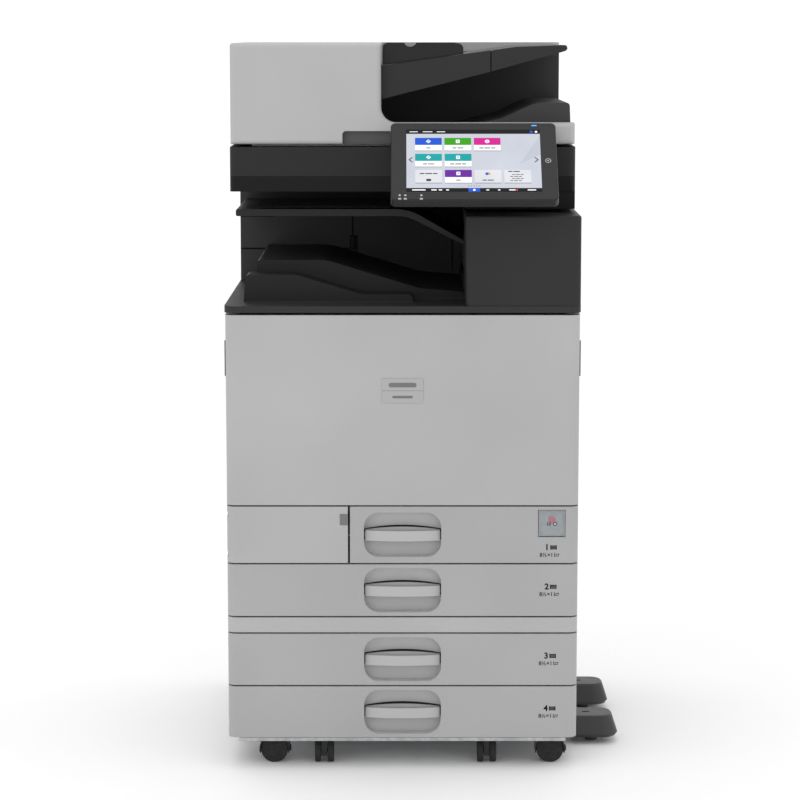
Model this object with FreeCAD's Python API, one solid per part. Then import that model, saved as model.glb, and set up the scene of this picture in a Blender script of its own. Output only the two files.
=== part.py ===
import FreeCAD, Part
import math
import os

# Floor-standing colour copier with a document feeder, a swing-up touch panel,
# four paper drawers, a stabilised base and casters.
# Axes while modelling: X to the right, Y from the front faces to the back, Z up from the floor.

os.makedirs("parts", exist_ok=True)
V = FreeCAD.Vector

# ------------------------------------------------------------------ overall sizes
BODY_W = 587.0        # width over the side covers
BODY_D = 620.0        # front faces to the back of the rear cover
FRONT_D = 24.0        # depth of the door and of every drawer front
FRONT_R = 15.0        # rounded vertical corners of the fronts
COVER_Y = 30.0        # side covers start here, behind the fronts
FRAME_Y = 36.0        # sheet-metal frame starts here
WALL = 3.0            # moulded cover wall
SHEET = 4.0           # frame plate
SEAM = 2.5            # visible gap between neighbouring fronts
TOUCH = 0.3           # clearance of a piece that rests beside its seat
RUN = 0.4             # clearance of a drawer runner above its rail
FIT = 0.05            # radial clearance of a turning pin in its bore

# ------------------------------------------------------------------ heights, from the floor up
BASE_Z = 44.0         # underside of the drawer bank
BASE_T = 6.0          # bottom plate of the bank
FRONTS_Z = 54.5       # lower edge of the lowest drawer front
DRAWER_H = 88.0       # drawer fronts 2 to 4
DRAWER1_H = 95.5      # top drawer front and the cover beside it
RAIL_H = 25.5         # band between the bank and the engine
DOOR_H = 318.0        # front door
LID_GAP = 4.0         # shadow gap over the door
LID_T = 11.0          # black top cover's rim
EXIT_H = 149.0        # output housing over the top cover
SCAN_GAP = 35.0       # from the output housing to the scanner, bridged by its neck
SCAN_H = 74.0         # scanner
FEED_GAP = 4.5        # gap between scanner and document feeder
FEED_H = 167.0        # document feeder

DRAWER_Z = [0.0] * 5
DRAWER_Z[4] = FRONTS_Z
DRAWER_Z[3] = DRAWER_Z[4] + DRAWER_H + SEAM
RAIL_Z = DRAWER_Z[3] + DRAWER_H + SEAM
DRAWER_Z[2] = RAIL_Z + RAIL_H + SEAM
DRAWER_Z[1] = DRAWER_Z[2] + DRAWER_H + SEAM
DOOR_Z = DRAWER_Z[1] + DRAWER1_H + SEAM
LID_Z = DOOR_Z + DOOR_H + LID_GAP
LID_TOP = LID_Z + LID_T
EXIT_TOP = LID_TOP + EXIT_H
SCAN_Z = EXIT_TOP + SCAN_GAP
SCAN_TOP = SCAN_Z + SCAN_H
FEED_Z = SCAN_TOP + FEED_GAP
FEED_TOP = FEED_Z + FEED_H

# ------------------------------------------------------------------ widths and depths
HALF = BODY_W / 2
COVER_SPACE = 17.5                        # from a cover's outside to the frame plate
FRAME_X = HALF - COVER_SPACE - SHEET      # inner face of a frame side plate
RAIL_W = 22.0                             # frame plate to drawer box
BOX_X = FRAME_X - RAIL_W                  # half width of a drawer box
REAR_SPACE = 20.0                         # depth of the rear cover
BACK_Y = BODY_D - REAR_SPACE              # back ends of the side plates
SERVICE_D = 44.0                          # bay for the electronics
REAR_Y = BACK_Y - SERVICE_D               # frame's rear plate
BANK_TOP = RAIL_Z + RAIL_H                # where the engine frame stands on the bank
STANDARD_W = 587.0                        # width that the curved trays are drawn at
STANDARD_DOOR_H = 318.0                   # door height that the units inside are laid out for
WIDE = BODY_W / STANDARD_W                # stretch of the curved trays on another width

# drawers
BOX_D = BACK_Y - 144.0        # depth of a drawer box
BOX_H = 62.0
BOX_T = 2.5
BOX_UP = 6.0          # box floor above the lower edge of its front
RUNNER_UP = 36.0      # runner above the box floor
RUNNER_W = 12.0
RUNNER_T = 3.0
SPLIT_X = -88.0 * WIDE        # left edge of the top drawer front
BOX1_X0 = SPLIT_X + RUNNER_W + 1.0        # the top drawer is narrower than the others
GRIP_W = 129.0        # recess behind a drawer's handle bar
GRIP_H = 75.0
GRIP_R = 25.0
GRIP_D = 19.0
BAR_H = 18.0          # handle bar
BAR_BOW = 8.0
BAR_T = 5.0
BAR_RISE = 6.0        # arched lip behind the bar
BAR_LIP = 3.0         # depth of that lip
BAR_DROP = 2.0        # bar below the middle of its recess
BAR_GAP = 2.0         # shadow gap at each end of the bar

# hinges of the front covers
DOOR_PIN_Y = 8.0
DOOR_PIN_UP = 14.0    # pin above the door's lower edge
DOOR_ARM_X = 200.0
ARM_W = 10.0
KNUCKLE_R = 4.6
PIN_R = 2.5
WASTE_PIN_IN = 12.0   # pin of the waste cover from its left side and from its face
WASTE_ARM_H = 8.0

# main switch on the right
SWITCH_X1 = HALF - 23.0
SWITCH_X0 = SWITCH_X1 - 43.5
SWITCH_Z0 = DRAWER_Z[1] + 45.0
SWITCH_Z1 = DRAWER_Z[1] + 89.0
BOX1_X1 = SWITCH_X0 - 9.0     # right side of the top drawer's box
WINDOW_GAP = 1.0      # around the switch housing in the drawer front
FLAP_T = 2.2
FLAP_PIN_R = 1.0

# output section
EXIT_X = HALF - 189.5         # left face of the output housing
CAVITY_Y = BACK_Y - 150.0     # rear wall of the output cavity
WAVE_Y0 = 65.0        # lower step of the output tray
WAVE_Y1 = 120.0       # upper step of the output tray
BIN_Y = 150.0         # front edge of the upper output bin
BIN_Z = LID_TOP + 138.0       # underside of the upper output bin
BIN_T = 12.0

# scanner and document feeder
SCAN_HALF = HALF - 5.5
SCAN_Y = 75.0
SCAN_T = 4.0
FEED_HALF = HALF - 7.0
FEED_BACK = BACK_Y - 10.0
FEED_SPLIT = -FEED_HALF + 250.8   # right edge of the feeder's closed left block
BAND_H = 36.0         # light band along the feeder's lower edge
FACE_D = 20.0         # thickness of the feeder's front cover
HOOD_Z = FEED_TOP - 36.5      # lower edge of the lifting feed cover
TRAY_SEAM = FEED_HALF - 139.5     # joint between the fixed and folding original tray
TRAY_Y0 = SCAN_Y + 22.0
TRAY_Y1 = BACK_Y - 156.0
REAR_HOOD_Y = BACK_Y - 150.0      # front of the feeder's rear housing
FEED_PIN_Y = BACK_Y + 6.0
FEED_PIN_Z = SCAN_TOP + 9.0
FEED_HINGE_X = 200.0

# operation panel, tilted
PANEL_W = 272.0
PANEL_L = 170.0       # along the slope
PANEL_T = 20.0
PANEL_X = HALF - 177.0        # its centre
PANEL_TILT = 45.0
PANEL_LOW_Y = -65.0   # lower front edge
PANEL_LOW_Z = SCAN_TOP - 79.0
PANEL_PIN_R = 4.0

# floor gear
WHEEL_R = 23.0
WHEEL_T = 10.0
CASTER_TRAIL = 16.5
CASTER_X = HALF - 59.0        # swivel axes of the front casters
CASTER_Y = 53.0
SUPPORT_X = HALF - 155.5      # twin rollers between the casters
SUPPORT_SHIFT = 5.0           # both stand a little to the right
SUPPORT_R = 20.0
SUPPORT_Y = 48.0
STAB_Y = [190.0, BODY_D - 206.0]
STAB_REACH = HALF + 83.5


# ------------------------------------------------------------------ shape helpers
def box(x0, x1, y0, y1, z0, z1):
    """Block between two limits on each axis."""
    return Part.makeBox(x1 - x0, y1 - y0, z1 - z0, V(x0, y0, z0))


def rod_x(x0, x1, y, z, radius):
    return Part.makeCylinder(radius, x1 - x0, V(x0, y, z), V(1, 0, 0))


def rod_y(y0, y1, x, z, radius):
    return Part.makeCylinder(radius, y1 - y0, V(x, y0, z), V(0, 1, 0))


def rod_z(z0, z1, x, y, radius):
    return Part.makeCylinder(radius, z1 - z0, V(x, y, z0), V(0, 0, 1))


def fuse(pieces):
    """One solid from pieces that touch or overlap."""
    whole = pieces[0]
    if len(pieces) > 1:
        whole = whole.fuse(pieces[1:])
    return whole.removeSplitter()


def cut(base, tools):
    return base.cut(tools)


def outline(points, place):
    """Closed wire through (a, b, radius) corners, each rounded by its radius; place maps (a, b) to a point."""
    count = len(points)
    edges = []
    last_end = None
    first_start = None
    for i in range(count):
        a, b, radius = points[i]
        corner = FreeCAD.Vector(a, b, 0)
        before = FreeCAD.Vector(points[i - 1][0], points[i - 1][1], 0) - corner
        after = FreeCAD.Vector(points[(i + 1) % count][0], points[(i + 1) % count][1], 0) - corner
        before.normalize()
        after.normalize()
        start = corner
        end = corner
        middle = None
        if radius > 0:
            half_angle = before.getAngle(after) / 2
            reach = radius / math.tan(half_angle)
            start = corner + before * reach
            end = corner + after * reach
            inward = before + after
            inward.normalize()
            middle = corner + inward * (radius / math.sin(half_angle) - radius)
        if last_end is not None and (start - last_end).Length > 1e-6:
            edges.append(Part.LineSegment(place(last_end), place(start)).toShape())
        if middle is not None:
            edges.append(Part.Arc(place(start), place(middle), place(end)).toShape())
        if first_start is None:
            first_start = start
        last_end = end
    if (first_start - last_end).Length > 1e-6:
        edges.append(Part.LineSegment(place(last_end), place(first_start)).toShape())
    return Part.Wire(edges)


def plan(points, z0, z1):
    """Outline in X and Y, raised from z0 to z1."""
    wire = outline(points, lambda p: V(p.x, p.y, z0))
    return Part.Face(wire).extrude(V(0, 0, z1 - z0))


def front(points, y0, y1):
    """Outline in X and Z, drawn back from y0 to y1."""
    wire = outline(points, lambda p: V(p.x, y0, p.y))
    return Part.Face(wire).extrude(V(0, y1 - y0, 0))


def side(points, x0, x1):
    """Outline in Y and Z, drawn right from x0 to x1."""
    wire = outline(points, lambda p: V(x0, p.x, p.y))
    return Part.Face(wire).extrude(V(x1 - x0, 0, 0))


def round_rect(x0, x1, z0, z1, radius, y0, y1):
    """Block along Y whose front view has four rounded corners."""
    corners = [(x0, z0, radius), (x1, z0, radius), (x1, z1, radius), (x0, z1, radius)]
    return front(corners, y0, y1)


def both_sides(make):
    """The same piece on the left and on the right."""
    return [make(-1), make(1)]


def span(sign, inner, outer):
    """X limits of something that lies from inner to outer on one side."""
    return (inner, outer) if sign > 0 else (-outer, -inner)


def sheet_box(x0, x1, y0, y1, z0, z1, wall):
    """Open-topped box."""
    return cut(box(x0, x1, y0, y1, z0, z1), box(x0 + wall, x1 - wall, y0 + wall, y1 - wall, z0 + wall,
                                                z1 + 1))


def front_block(x0, x1, z0, z1, left_r, right_r, y0=0.0, depth=FRONT_D):
    """Front cover block with its outer vertical corners rounded."""
    corners = [(x0, y0, left_r), (x1, y0, right_r), (x1, y0 + depth, 0), (x0, y0 + depth, 0)]
    return plan(corners, z0, z1)


def front_shell(x0, x1, z0, z1, left_r, right_r):
    """Front cover: a face with side, top and bottom walls, open at the back."""
    block = front_block(x0, x1, z0, z1, left_r, right_r)
    inner_left = max(left_r - WALL, 0)
    inner_right = max(right_r - WALL, 0)
    room = front_block(x0 + WALL, x1 - WALL, z0 + WALL, z1 - WALL, inner_left, inner_right, WALL)
    return cut(block, room)


NODES = {}


def add(name, *solids):
    """Put one or more separate solids into a named piece."""
    NODES.setdefault(name, [])
    for shape in solids:
        NODES[name].extend(shape.Solids)


# ------------------------------------------------------------------ drawer bank and engine frames
def frame_sides(z0, z1):
    return both_sides(lambda s: box(*span(s, FRAME_X, FRAME_X + SHEET), FRAME_Y, BACK_Y, z0, z1))


def side_rail(number, sign):
    """One drawer rail, from the frame plate towards the drawer box."""
    top = DRAWER_Z[number] + BOX_UP + RUNNER_UP - RUN
    x0, x1 = span(sign, BOX_X + 1.2, FRAME_X)
    return box(x0, x1, FRAME_Y + 4, REAR_Y, top - RUNNER_T, top)


bank_parts = frame_sides(BASE_Z + BASE_T, BANK_TOP - SHEET)
bank_parts.append(box(-FRAME_X - SHEET, FRAME_X + SHEET, FRONT_R, BACK_Y, BASE_Z, BASE_Z + BASE_T))
bank_parts.append(box(-FRAME_X - SHEET, FRAME_X + SHEET, FRAME_Y, BACK_Y, BANK_TOP - SHEET, BANK_TOP))
bank_parts.append(box(-FRAME_X, FRAME_X, REAR_Y, REAR_Y + SHEET, BASE_Z + BASE_T, BANK_TOP - SHEET))
for level in (3, 4):
    bank_parts.extend(both_sides(lambda s: side_rail(level, s)))
add("bank_frame", fuse(bank_parts))

SHELF_Z = DOOR_Z - 6.0            # shelf between the drawers and the engine
DIVIDER_X = SPLIT_X - 12.0        # wall between the waste bottle and the top drawer
engine_parts = frame_sides(BANK_TOP, LID_Z)
ENGINE_X = FRAME_X + SHEET
engine_parts.append(box(-ENGINE_X, ENGINE_X, FRAME_Y, BACK_Y, BANK_TOP, BANK_TOP + SHEET))
engine_parts.append(box(-FRAME_X, FRAME_X, FRAME_Y, REAR_Y, SHELF_Z, SHELF_Z + SHEET))
engine_parts.append(box(-FRAME_X, FRAME_X, REAR_Y, REAR_Y + SHEET, BANK_TOP, LID_Z))
engine_parts.append(box(-FRAME_X, FRAME_X, FRAME_Y, REAR_Y, LID_Z - SHEET, LID_Z))
SPLIT_SHELF = DRAWER_Z[1] - 1.5
engine_parts.append(box(-FRAME_X, DIVIDER_X + SHEET, FRAME_Y, REAR_Y, SPLIT_SHELF, SPLIT_SHELF + 3))
engine_parts.append(box(DIVIDER_X, DIVIDER_X + SHEET, FRAME_Y, REAR_Y, SPLIT_SHELF, SHELF_Z))
engine_parts.extend(both_sides(lambda s: side_rail(2, s)))
RAIL1_TOP = DRAWER_Z[1] + BOX_UP + RUNNER_UP - RUN
engine_parts.append(box(BOX1_X1 + 1.2, FRAME_X, FRAME_Y + 4, REAR_Y, RAIL1_TOP - RUNNER_T, RAIL1_TOP))
engine_parts.append(box(DIVIDER_X, BOX1_X0 - 1.2, FRAME_Y + 4, REAR_Y, RAIL1_TOP - RUNNER_T, RAIL1_TOP))
engine = fuse(engine_parts)
WINDOW_Y0 = 90.0                  # opening in the right plate for the paper transfer
WINDOW_Y1 = REAR_Y - 20.0
WINDOW_Z0 = SHELF_Z + 12.0
WINDOW_Z1 = LID_Z - 30.0
engine = cut(engine, box(FRAME_X - 1, ENGINE_X + 1, WINDOW_Y0, WINDOW_Y1, WINDOW_Z0, WINDOW_Z1))
add("engine_frame", engine)

# ------------------------------------------------------------------ outer covers
FLANGE_X = ENGINE_X               # cover flanges reach the frame plates


def side_cover(sign, z0, z1):
    """Side cover: a face with a flange all round that meets the frame."""
    x0, x1 = span(sign, FLANGE_X, HALF)
    cover = box(x0, x1, COVER_Y, BACK_Y, z0, z1)
    x0, x1 = span(sign, FLANGE_X - 1, HALF - WALL)
    return cut(cover, box(x0, x1, COVER_Y + WALL, BACK_Y - WALL, z0 + WALL, z1 - WALL))


def vent_slots(y0, z0, columns, rows, sign):
    """Rows of upright ventilation slots through a side cover."""
    slots = []
    for row in range(rows):
        for column in range(columns):
            y = y0 + column * VENT_STEP
            z = z0 + row * (VENT_H + 10)
            x0, x1 = span(sign, HALF - WALL - 1, HALF + 1)
            slots.append(box(x0, x1, y, y + VENT_W, z, z + VENT_H))
    return slots


VENT_W = 4.0
VENT_H = 42.0
VENT_STEP = 9.0
COVER_TOP = LID_Z - 2.0
COVER_LOW = BANK_TOP + 2.5
left_cover = side_cover(-1, COVER_LOW, COVER_TOP)
add("left_cover", cut(left_cover, vent_slots(BACK_Y - 190, COVER_TOP - 130, 16, 2, -1)))

SIDE_DOOR_Y0 = 60.5               # right-hand access door
SIDE_DOOR_Y1 = BACK_Y - 40.5
SIDE_DOOR_Z0 = DRAWER_Z[1] + 12.0
SIDE_DOOR_Z1 = COVER_TOP - 12.0
SIDE_DOOR_T = 13.5
SIDE_GAP = 3.5
SIDE_PIN_X = HALF - 9.5
SIDE_PIN_Z = SIDE_DOOR_Z0 + 5.0
right_cover = side_cover(1, COVER_LOW, COVER_TOP)
rim = WALL + SIDE_GAP
right_cover = fuse([right_cover, box(FLANGE_X, HALF, SIDE_DOOR_Y0 - rim, SIDE_DOOR_Y1 + rim,
                                     SIDE_DOOR_Z0 - rim, SIDE_DOOR_Z1 + rim)])
right_cover = cut(right_cover, [box(FLANGE_X - 1, HALF + 1, SIDE_DOOR_Y0 - SIDE_GAP,
                                    SIDE_DOOR_Y1 + SIDE_GAP,
                                    SIDE_DOOR_Z0 - SIDE_GAP, SIDE_DOOR_Z1 + SIDE_GAP)])
pin_low = SIDE_DOOR_Y0 - SIDE_GAP - WALL
pin_high = SIDE_DOOR_Y1 + SIDE_GAP + WALL
right_cover = cut(right_cover, [rod_y(pin_low - 1, SIDE_DOOR_Y0, SIDE_PIN_X, SIDE_PIN_Z, PIN_R + FIT),
                                rod_y(SIDE_DOOR_Y1, pin_high + 1, SIDE_PIN_X, SIDE_PIN_Z, PIN_R + FIT)])
add("right_cover", right_cover)

bank_left = side_cover(-1, BASE_Z + BASE_T, BANK_TOP)
bank_right = side_cover(1, BASE_Z + BASE_T, BANK_TOP)
bank_back = cut(box(-HALF, HALF, BACK_Y, BODY_D, BASE_Z + BASE_T, BANK_TOP),
                box(-HALF + WALL, HALF - WALL, BACK_Y - 1, BODY_D - WALL, BASE_Z + BASE_T + WALL,
                    BANK_TOP - WALL))
add("bank_covers", bank_left, bank_right, bank_back)

rear_cover = cut(box(-HALF, HALF, BACK_Y, BODY_D, COVER_LOW, COVER_TOP),
                 box(-HALF + WALL, HALF - WALL, BACK_Y - 1, BODY_D - WALL, COVER_LOW + WALL,
                     COVER_TOP - WALL))
REAR_VENT_X = 60.0
for row in range(3):
    for column in range(18):
        x = REAR_VENT_X + column * VENT_STEP
        z = COVER_LOW + 60 + row * (VENT_H + 10)
        rear_cover = cut(rear_cover, box(x, x + VENT_W, BODY_D - WALL - 1, BODY_D + 1, z, z + VENT_H))
INLET_X = -HALF + 55.5
INLET_Z = COVER_LOW + 36.0
INLET_W = 28.0
INLET_H = 20.0
rear_cover = cut(rear_cover, box(INLET_X - INLET_W / 2 - 0.5, INLET_X + INLET_W / 2 + 0.5,
                                 BODY_D - WALL - 1,
                                 BODY_D + 1, INLET_Z - INLET_H / 2 - 0.5, INLET_Z + INLET_H / 2 + 0.5))
add("rear_cover", rear_cover)

# the band between the bank and the engine
band = front_block(-HALF, HALF, RAIL_Z, RAIL_Z + RAIL_H, FRONT_R, FRONT_R, 0.0, FRONT_D)
band = fuse([band, box(-ENGINE_X, ENGINE_X, FRONT_D, FRAME_Y, RAIL_Z + 4, RAIL_Z + RAIL_H - 4)])
add("bank_front_rail", band)

# ------------------------------------------------------------------ paper drawers


def bowed_strip(half, y, depth, z, height):
    """Strip across the grip, its middle nearer the user than its ends by the bar's bow."""
    ends_y = y + BAR_BOW
    edges = [Part.Arc(V(-half, ends_y, z), V(0, y, z), V(half, ends_y, z)).toShape(),
             Part.LineSegment(V(half, ends_y, z), V(half, ends_y + depth, z)).toShape(),
             Part.Arc(V(half, ends_y + depth, z), V(0, y + depth, z),
                      V(-half, ends_y + depth, z)).toShape(),
             Part.LineSegment(V(-half, ends_y + depth, z), V(-half, ends_y, z)).toShape()]
    return Part.Face(Part.Wire(edges)).extrude(V(0, 0, height))


def handle_bar(centre_z):
    """Bar across the grip recess, bowed towards the user, with a stub at each end."""
    half = GRIP_W / 2 - BAR_GAP
    z0 = centre_z - BAR_H / 2
    z1 = z0 + BAR_H
    bar = bowed_strip(half, -1.0, BAR_T, z0, BAR_H)
    lip = bowed_strip(half, BAR_T - 1.5, BAR_LIP, z0, BAR_H + BAR_RISE)
    arch_edges = [Part.Arc(V(-half, -2, z1), V(0, -2, z1 + BAR_RISE), V(half, -2, z1)).toShape(),
                  Part.LineSegment(V(half, -2, z1), V(half, -2, z0)).toShape(),
                  Part.LineSegment(V(half, -2, z0), V(-half, -2, z0)).toShape(),
                  Part.LineSegment(V(-half, -2, z0), V(-half, -2, z1)).toShape()]
    arch = Part.Face(Part.Wire(arch_edges)).extrude(V(0, FRONT_D, 0))
    lip = lip.common(arch)
    stubs = []
    for sign in (-1, 1):
        x0, x1 = span(sign, half - 4, GRIP_W / 2)
        stubs.append(box(x0, x1, BAR_BOW, BAR_BOW + BAR_T - 1.5, centre_z - 5, centre_z + 5))
    return fuse([bar, lip] + stubs)


def drawer_front(number, x0, height, left_r):
    """Drawer face with its grip recess; the bar is a piece of its own."""
    z0 = DRAWER_Z[number]
    centre = z0 + height / 2
    face = front_shell(x0, HALF, z0, z0 + height, left_r, FRONT_R)
    cup = round_rect(-GRIP_W / 2 - WALL, GRIP_W / 2 + WALL, centre - GRIP_H / 2 - WALL,
                     centre + GRIP_H / 2 + WALL,
                     GRIP_R + WALL, 0.5, GRIP_D + WALL)
    recess = round_rect(-GRIP_W / 2, GRIP_W / 2, centre - GRIP_H / 2, centre + GRIP_H / 2, GRIP_R, -1,
                        GRIP_D)
    face = cut(fuse([face, cup]), recess)
    return face, handle_bar(centre - BAR_DROP)


def switch_window(grow):
    """Space that the main switch takes up in the top drawer's front."""
    return box(SWITCH_X0 - grow, SWITCH_X1 + grow, -1, FRAME_Y, SWITCH_Z0 - grow, SWITCH_Z1 + grow)


def drawer_box(number, x0, x1, front_x0, height):
    """Drawer box with its face plate and runners, and the paper plate and guides that lie in it."""
    z0 = DRAWER_Z[number] + BOX_UP
    y0 = FRONT_D
    y1 = FRONT_D + BOX_D
    tub = sheet_box(x0, x1, y0, y1, z0, z0 + BOX_H, BOX_T)
    low = DRAWER_Z[number] + 1
    plate = box(front_x0 + 2, HALF - 2, y0, y0 + BOX_T, low, DRAWER_Z[number] + height - 1)
    runner_z = z0 + RUNNER_UP
    runners = [box(x0 - RUNNER_W, x0, y0 + 20, y1, runner_z, runner_z + RUNNER_T),
               box(x1, x1 + RUNNER_W, y0 + 20, y1, runner_z, runner_z + RUNNER_T)]
    tub = fuse([tub, plate] + runners)
    middle = (x0 + x1) / 2
    floor = z0 + BOX_T
    reach = (x1 - x0) / 2 - 45
    lift = box(middle - reach, middle + reach, y0 + 60, y1 - 150, floor, floor + 1.5)
    guides = []
    for guide_y in (y0 + 44, y1 - 140):
        foot = box(middle - 40, middle + 40, guide_y, guide_y + 14, floor, floor + 2)
        wall = box(middle - 40, middle + 40, guide_y + 6, guide_y + 8.5, floor, floor + 46)
        guides.append(fuse([foot, wall]))
    return tub, [lift] + guides


for level in (2, 3, 4):
    face, bar = drawer_front(level, -HALF, DRAWER_H, FRONT_R)
    add("tray_%d_front" % level, face, bar)
    tub, inside = drawer_box(level, -BOX_X, BOX_X, -HALF, DRAWER_H)
    add("tray_%d_box" % level, tub, *inside)

face, bar = drawer_front(1, SPLIT_X, DRAWER1_H, 2.0)
sleeve = box(SWITCH_X0 - 3, SWITCH_X1 + 3, 0.5, FRONT_D, SWITCH_Z0 - 3, SWITCH_Z1 + 3)
add("tray_1_front", cut(fuse([face, sleeve]), switch_window(WINDOW_GAP)), bar)
tub, inside = drawer_box(1, BOX1_X0, BOX1_X1, SPLIT_X, DRAWER1_H)
add("tray_1_box", cut(tub, switch_window(WINDOW_GAP)), *inside)

# ------------------------------------------------------------------ main switch
SWITCH_WALL = 1.7
FLAP_Y = 0.3
FLAP_PIN_Y = 3.2
FLAP_PIN_Z = SWITCH_Z0 + 4.0
SWITCH_PLATE_Y = 16.0             # panel that carries the switch button
BUTTON_W = 24.0
BUTTON_H = 20.0
BUTTON_GAP = 0.5
SWITCH_BACK = 60.0
middle_x = (SWITCH_X0 + SWITCH_X1) / 2
middle_z = (SWITCH_Z0 + SWITCH_Z1) / 2

switch_tube = box(SWITCH_X0, SWITCH_X1, 0.5, SWITCH_BACK, SWITCH_Z0, SWITCH_Z1)
switch_tube = cut(switch_tube, [box(SWITCH_X0 + SWITCH_WALL, SWITCH_X1 - SWITCH_WALL, 0, SWITCH_PLATE_Y,
                                    SWITCH_Z0 - 1, SWITCH_Z1 - SWITCH_WALL),
                                box(middle_x - BUTTON_W / 2 - BUTTON_GAP,
                                    middle_x + BUTTON_W / 2 + BUTTON_GAP,
                                    0, SWITCH_BACK - 20, middle_z - BUTTON_H / 2 - BUTTON_GAP,
                                    middle_z + BUTTON_H / 2 + BUTTON_GAP)])
switch_tube = fuse([switch_tube, box(SWITCH_X0 + SWITCH_WALL, SWITCH_X1 - SWITCH_WALL, SWITCH_PLATE_Y - 6,
                                     SWITCH_PLATE_Y, SWITCH_Z0, SWITCH_Z0 + SWITCH_WALL),
                    box(SWITCH_X1, FRAME_X, FRAME_Y + 4, SWITCH_BACK, SWITCH_Z0, SWITCH_Z1)])
switch_tube = cut(switch_tube, rod_x(SWITCH_X0 - 1, SWITCH_X1 + 1, FLAP_PIN_Y, FLAP_PIN_Z,
                                     FLAP_PIN_R + FIT))
add("switch_housing", switch_tube)

button = box(middle_x - BUTTON_W / 2, middle_x + BUTTON_W / 2, SWITCH_PLATE_Y - 5, SWITCH_PLATE_Y + 16,
             middle_z - BUTTON_H / 2, middle_z + BUTTON_H / 2)
button = button.makeFillet(2.0, [edge for edge in button.Edges
                                 if abs(edge.BoundBox.YMax - SWITCH_PLATE_Y + 5) < 1e-3])
add("power_switch", button)

flap_x0 = SWITCH_X0 + SWITCH_WALL + 0.4
flap_x1 = SWITCH_X1 - SWITCH_WALL - 0.4
flap = box(flap_x0, flap_x1, FLAP_Y, FLAP_Y + FLAP_T, SWITCH_Z0 + 0.8, SWITCH_Z1 - SWITCH_WALL - 0.5)
ear = [rod_x(flap_x0, flap_x0 + 4, FLAP_PIN_Y, FLAP_PIN_Z, 2.4),
       rod_x(flap_x1 - 4, flap_x1, FLAP_PIN_Y, FLAP_PIN_Z, 2.4)]
flap_pins = [rod_x(SWITCH_X0 + 0.3, flap_x0 + 1, FLAP_PIN_Y, FLAP_PIN_Z, FLAP_PIN_R),
             rod_x(flap_x1 - 1, SWITCH_X1 - 0.3, FLAP_PIN_Y, FLAP_PIN_Z, FLAP_PIN_R)]
add("power_flap", fuse([flap] + ear + flap_pins))

# ------------------------------------------------------------------ front door
DOOR_TOP = DOOR_Z + DOOR_H
DOOR_PIN_Z = DOOR_Z + DOOR_PIN_UP
RIB_T = 3.5
RIB_GAP = 0.5
GRIP_PAD_Z0 = DOOR_TOP - 103.0
GRIP_PAD_Z1 = DOOR_TOP - 44.0
GRIP_PAD_OUT = 1.8
BADGE_W = 69.0
BADGE_H = 41.0
BADGE_Z = DOOR_TOP - 125.5

door = front_shell(-HALF, HALF, DOOR_Z, DOOR_TOP, FRONT_R, FRONT_R)
door_ribs = []
door_slots = []
for sign in (-1, 1):
    inner = DOOR_ARM_X - ARM_W / 2
    outer = DOOR_ARM_X + ARM_W / 2
    for rib_x in (inner - RIB_GAP - RIB_T, outer + RIB_GAP):
        x0, x1 = span(sign, rib_x, rib_x + RIB_T)
        door_ribs.append(box(x0, x1, 2, DOOR_PIN_Y + 5, DOOR_Z + 2, DOOR_PIN_Z + 6))
    x0, x1 = span(sign, inner - RIB_GAP - 1, outer + RIB_GAP + 1)
    door_ribs.append(rod_x(x0, x1, DOOR_PIN_Y, DOOR_PIN_Z, PIN_R))
    x0, x1 = span(sign, inner - RIB_GAP, outer + RIB_GAP)
    door_slots.append(box(x0, x1, 4, FRONT_D + 1, DOOR_Z - 1, DOOR_Z + WALL + 0.5))
door = fuse([cut(door, door_slots)] + door_ribs)
pads = []
for sign in (-1, 1):
    x0, x1 = span(sign, HALF - WALL - 4, HALF + GRIP_PAD_OUT)
    pads.append(box(x0, x1, FRONT_R + 1, FRONT_D, GRIP_PAD_Z0, GRIP_PAD_Z1))
add("front_door", cut(door, pads))
badge = round_rect(-BADGE_W / 2, BADGE_W / 2, BADGE_Z - BADGE_H / 2, BADGE_Z + BADGE_H / 2, 2.0, -0.8, 0.0)
groove = box(-BADGE_W / 2 - 1, BADGE_W / 2 + 1, -1, -0.4, BADGE_Z - 0.5, BADGE_Z + 0.5)
add("door_trim", cut(badge, groove), *pads)

# ------------------------------------------------------------------ cover over the waste bottle
WASTE_X1 = SPLIT_X - SEAM - 0.5
WASTE_Z0 = DRAWER_Z[1]
WASTE_Z1 = DRAWER_Z[1] + DRAWER1_H
WASTE_PIN_X = -HALF + WASTE_PIN_IN
WASTE_ARMS = (WASTE_Z0 + 10.0, WASTE_Z1 - 10.0 - WASTE_ARM_H)
waste = front_shell(-HALF, WASTE_X1, WASTE_Z0, WASTE_Z1, FRONT_R, 2.0)
waste_adds = []
waste_slots = []
for arm_z in WASTE_ARMS:
    for rib_z in (arm_z - RIB_GAP - RIB_T, arm_z + WASTE_ARM_H + RIB_GAP):
        waste_adds.append(box(WASTE_PIN_X - 3, WASTE_PIN_X + 5, 2, WASTE_PIN_IN + 3.5, rib_z,
                              rib_z + RIB_T))
    waste_adds.append(rod_z(arm_z - RIB_GAP - 1, arm_z + WASTE_ARM_H + RIB_GAP + 1, WASTE_PIN_X,
                            WASTE_PIN_IN, PIN_R))
    waste_slots.append(box(-HALF - 1, WASTE_PIN_X - 4, 7, FRONT_D + 1, arm_z - RIB_GAP,
                           arm_z + WASTE_ARM_H + RIB_GAP))
waste = fuse([cut(waste, waste_slots)] + waste_adds)
TAB_W = 13.5
tab = front([(WASTE_X1 - TAB_W, WASTE_Z1 - 31.0, 3), (WASTE_X1, WASTE_Z1 - 31.0, 0),
             (WASTE_X1, WASTE_Z1 - 12.5, 0),
             (WASTE_X1 - TAB_W, WASTE_Z1 - 12.5, 3)], -0.6, FRONT_D - 8)
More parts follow.
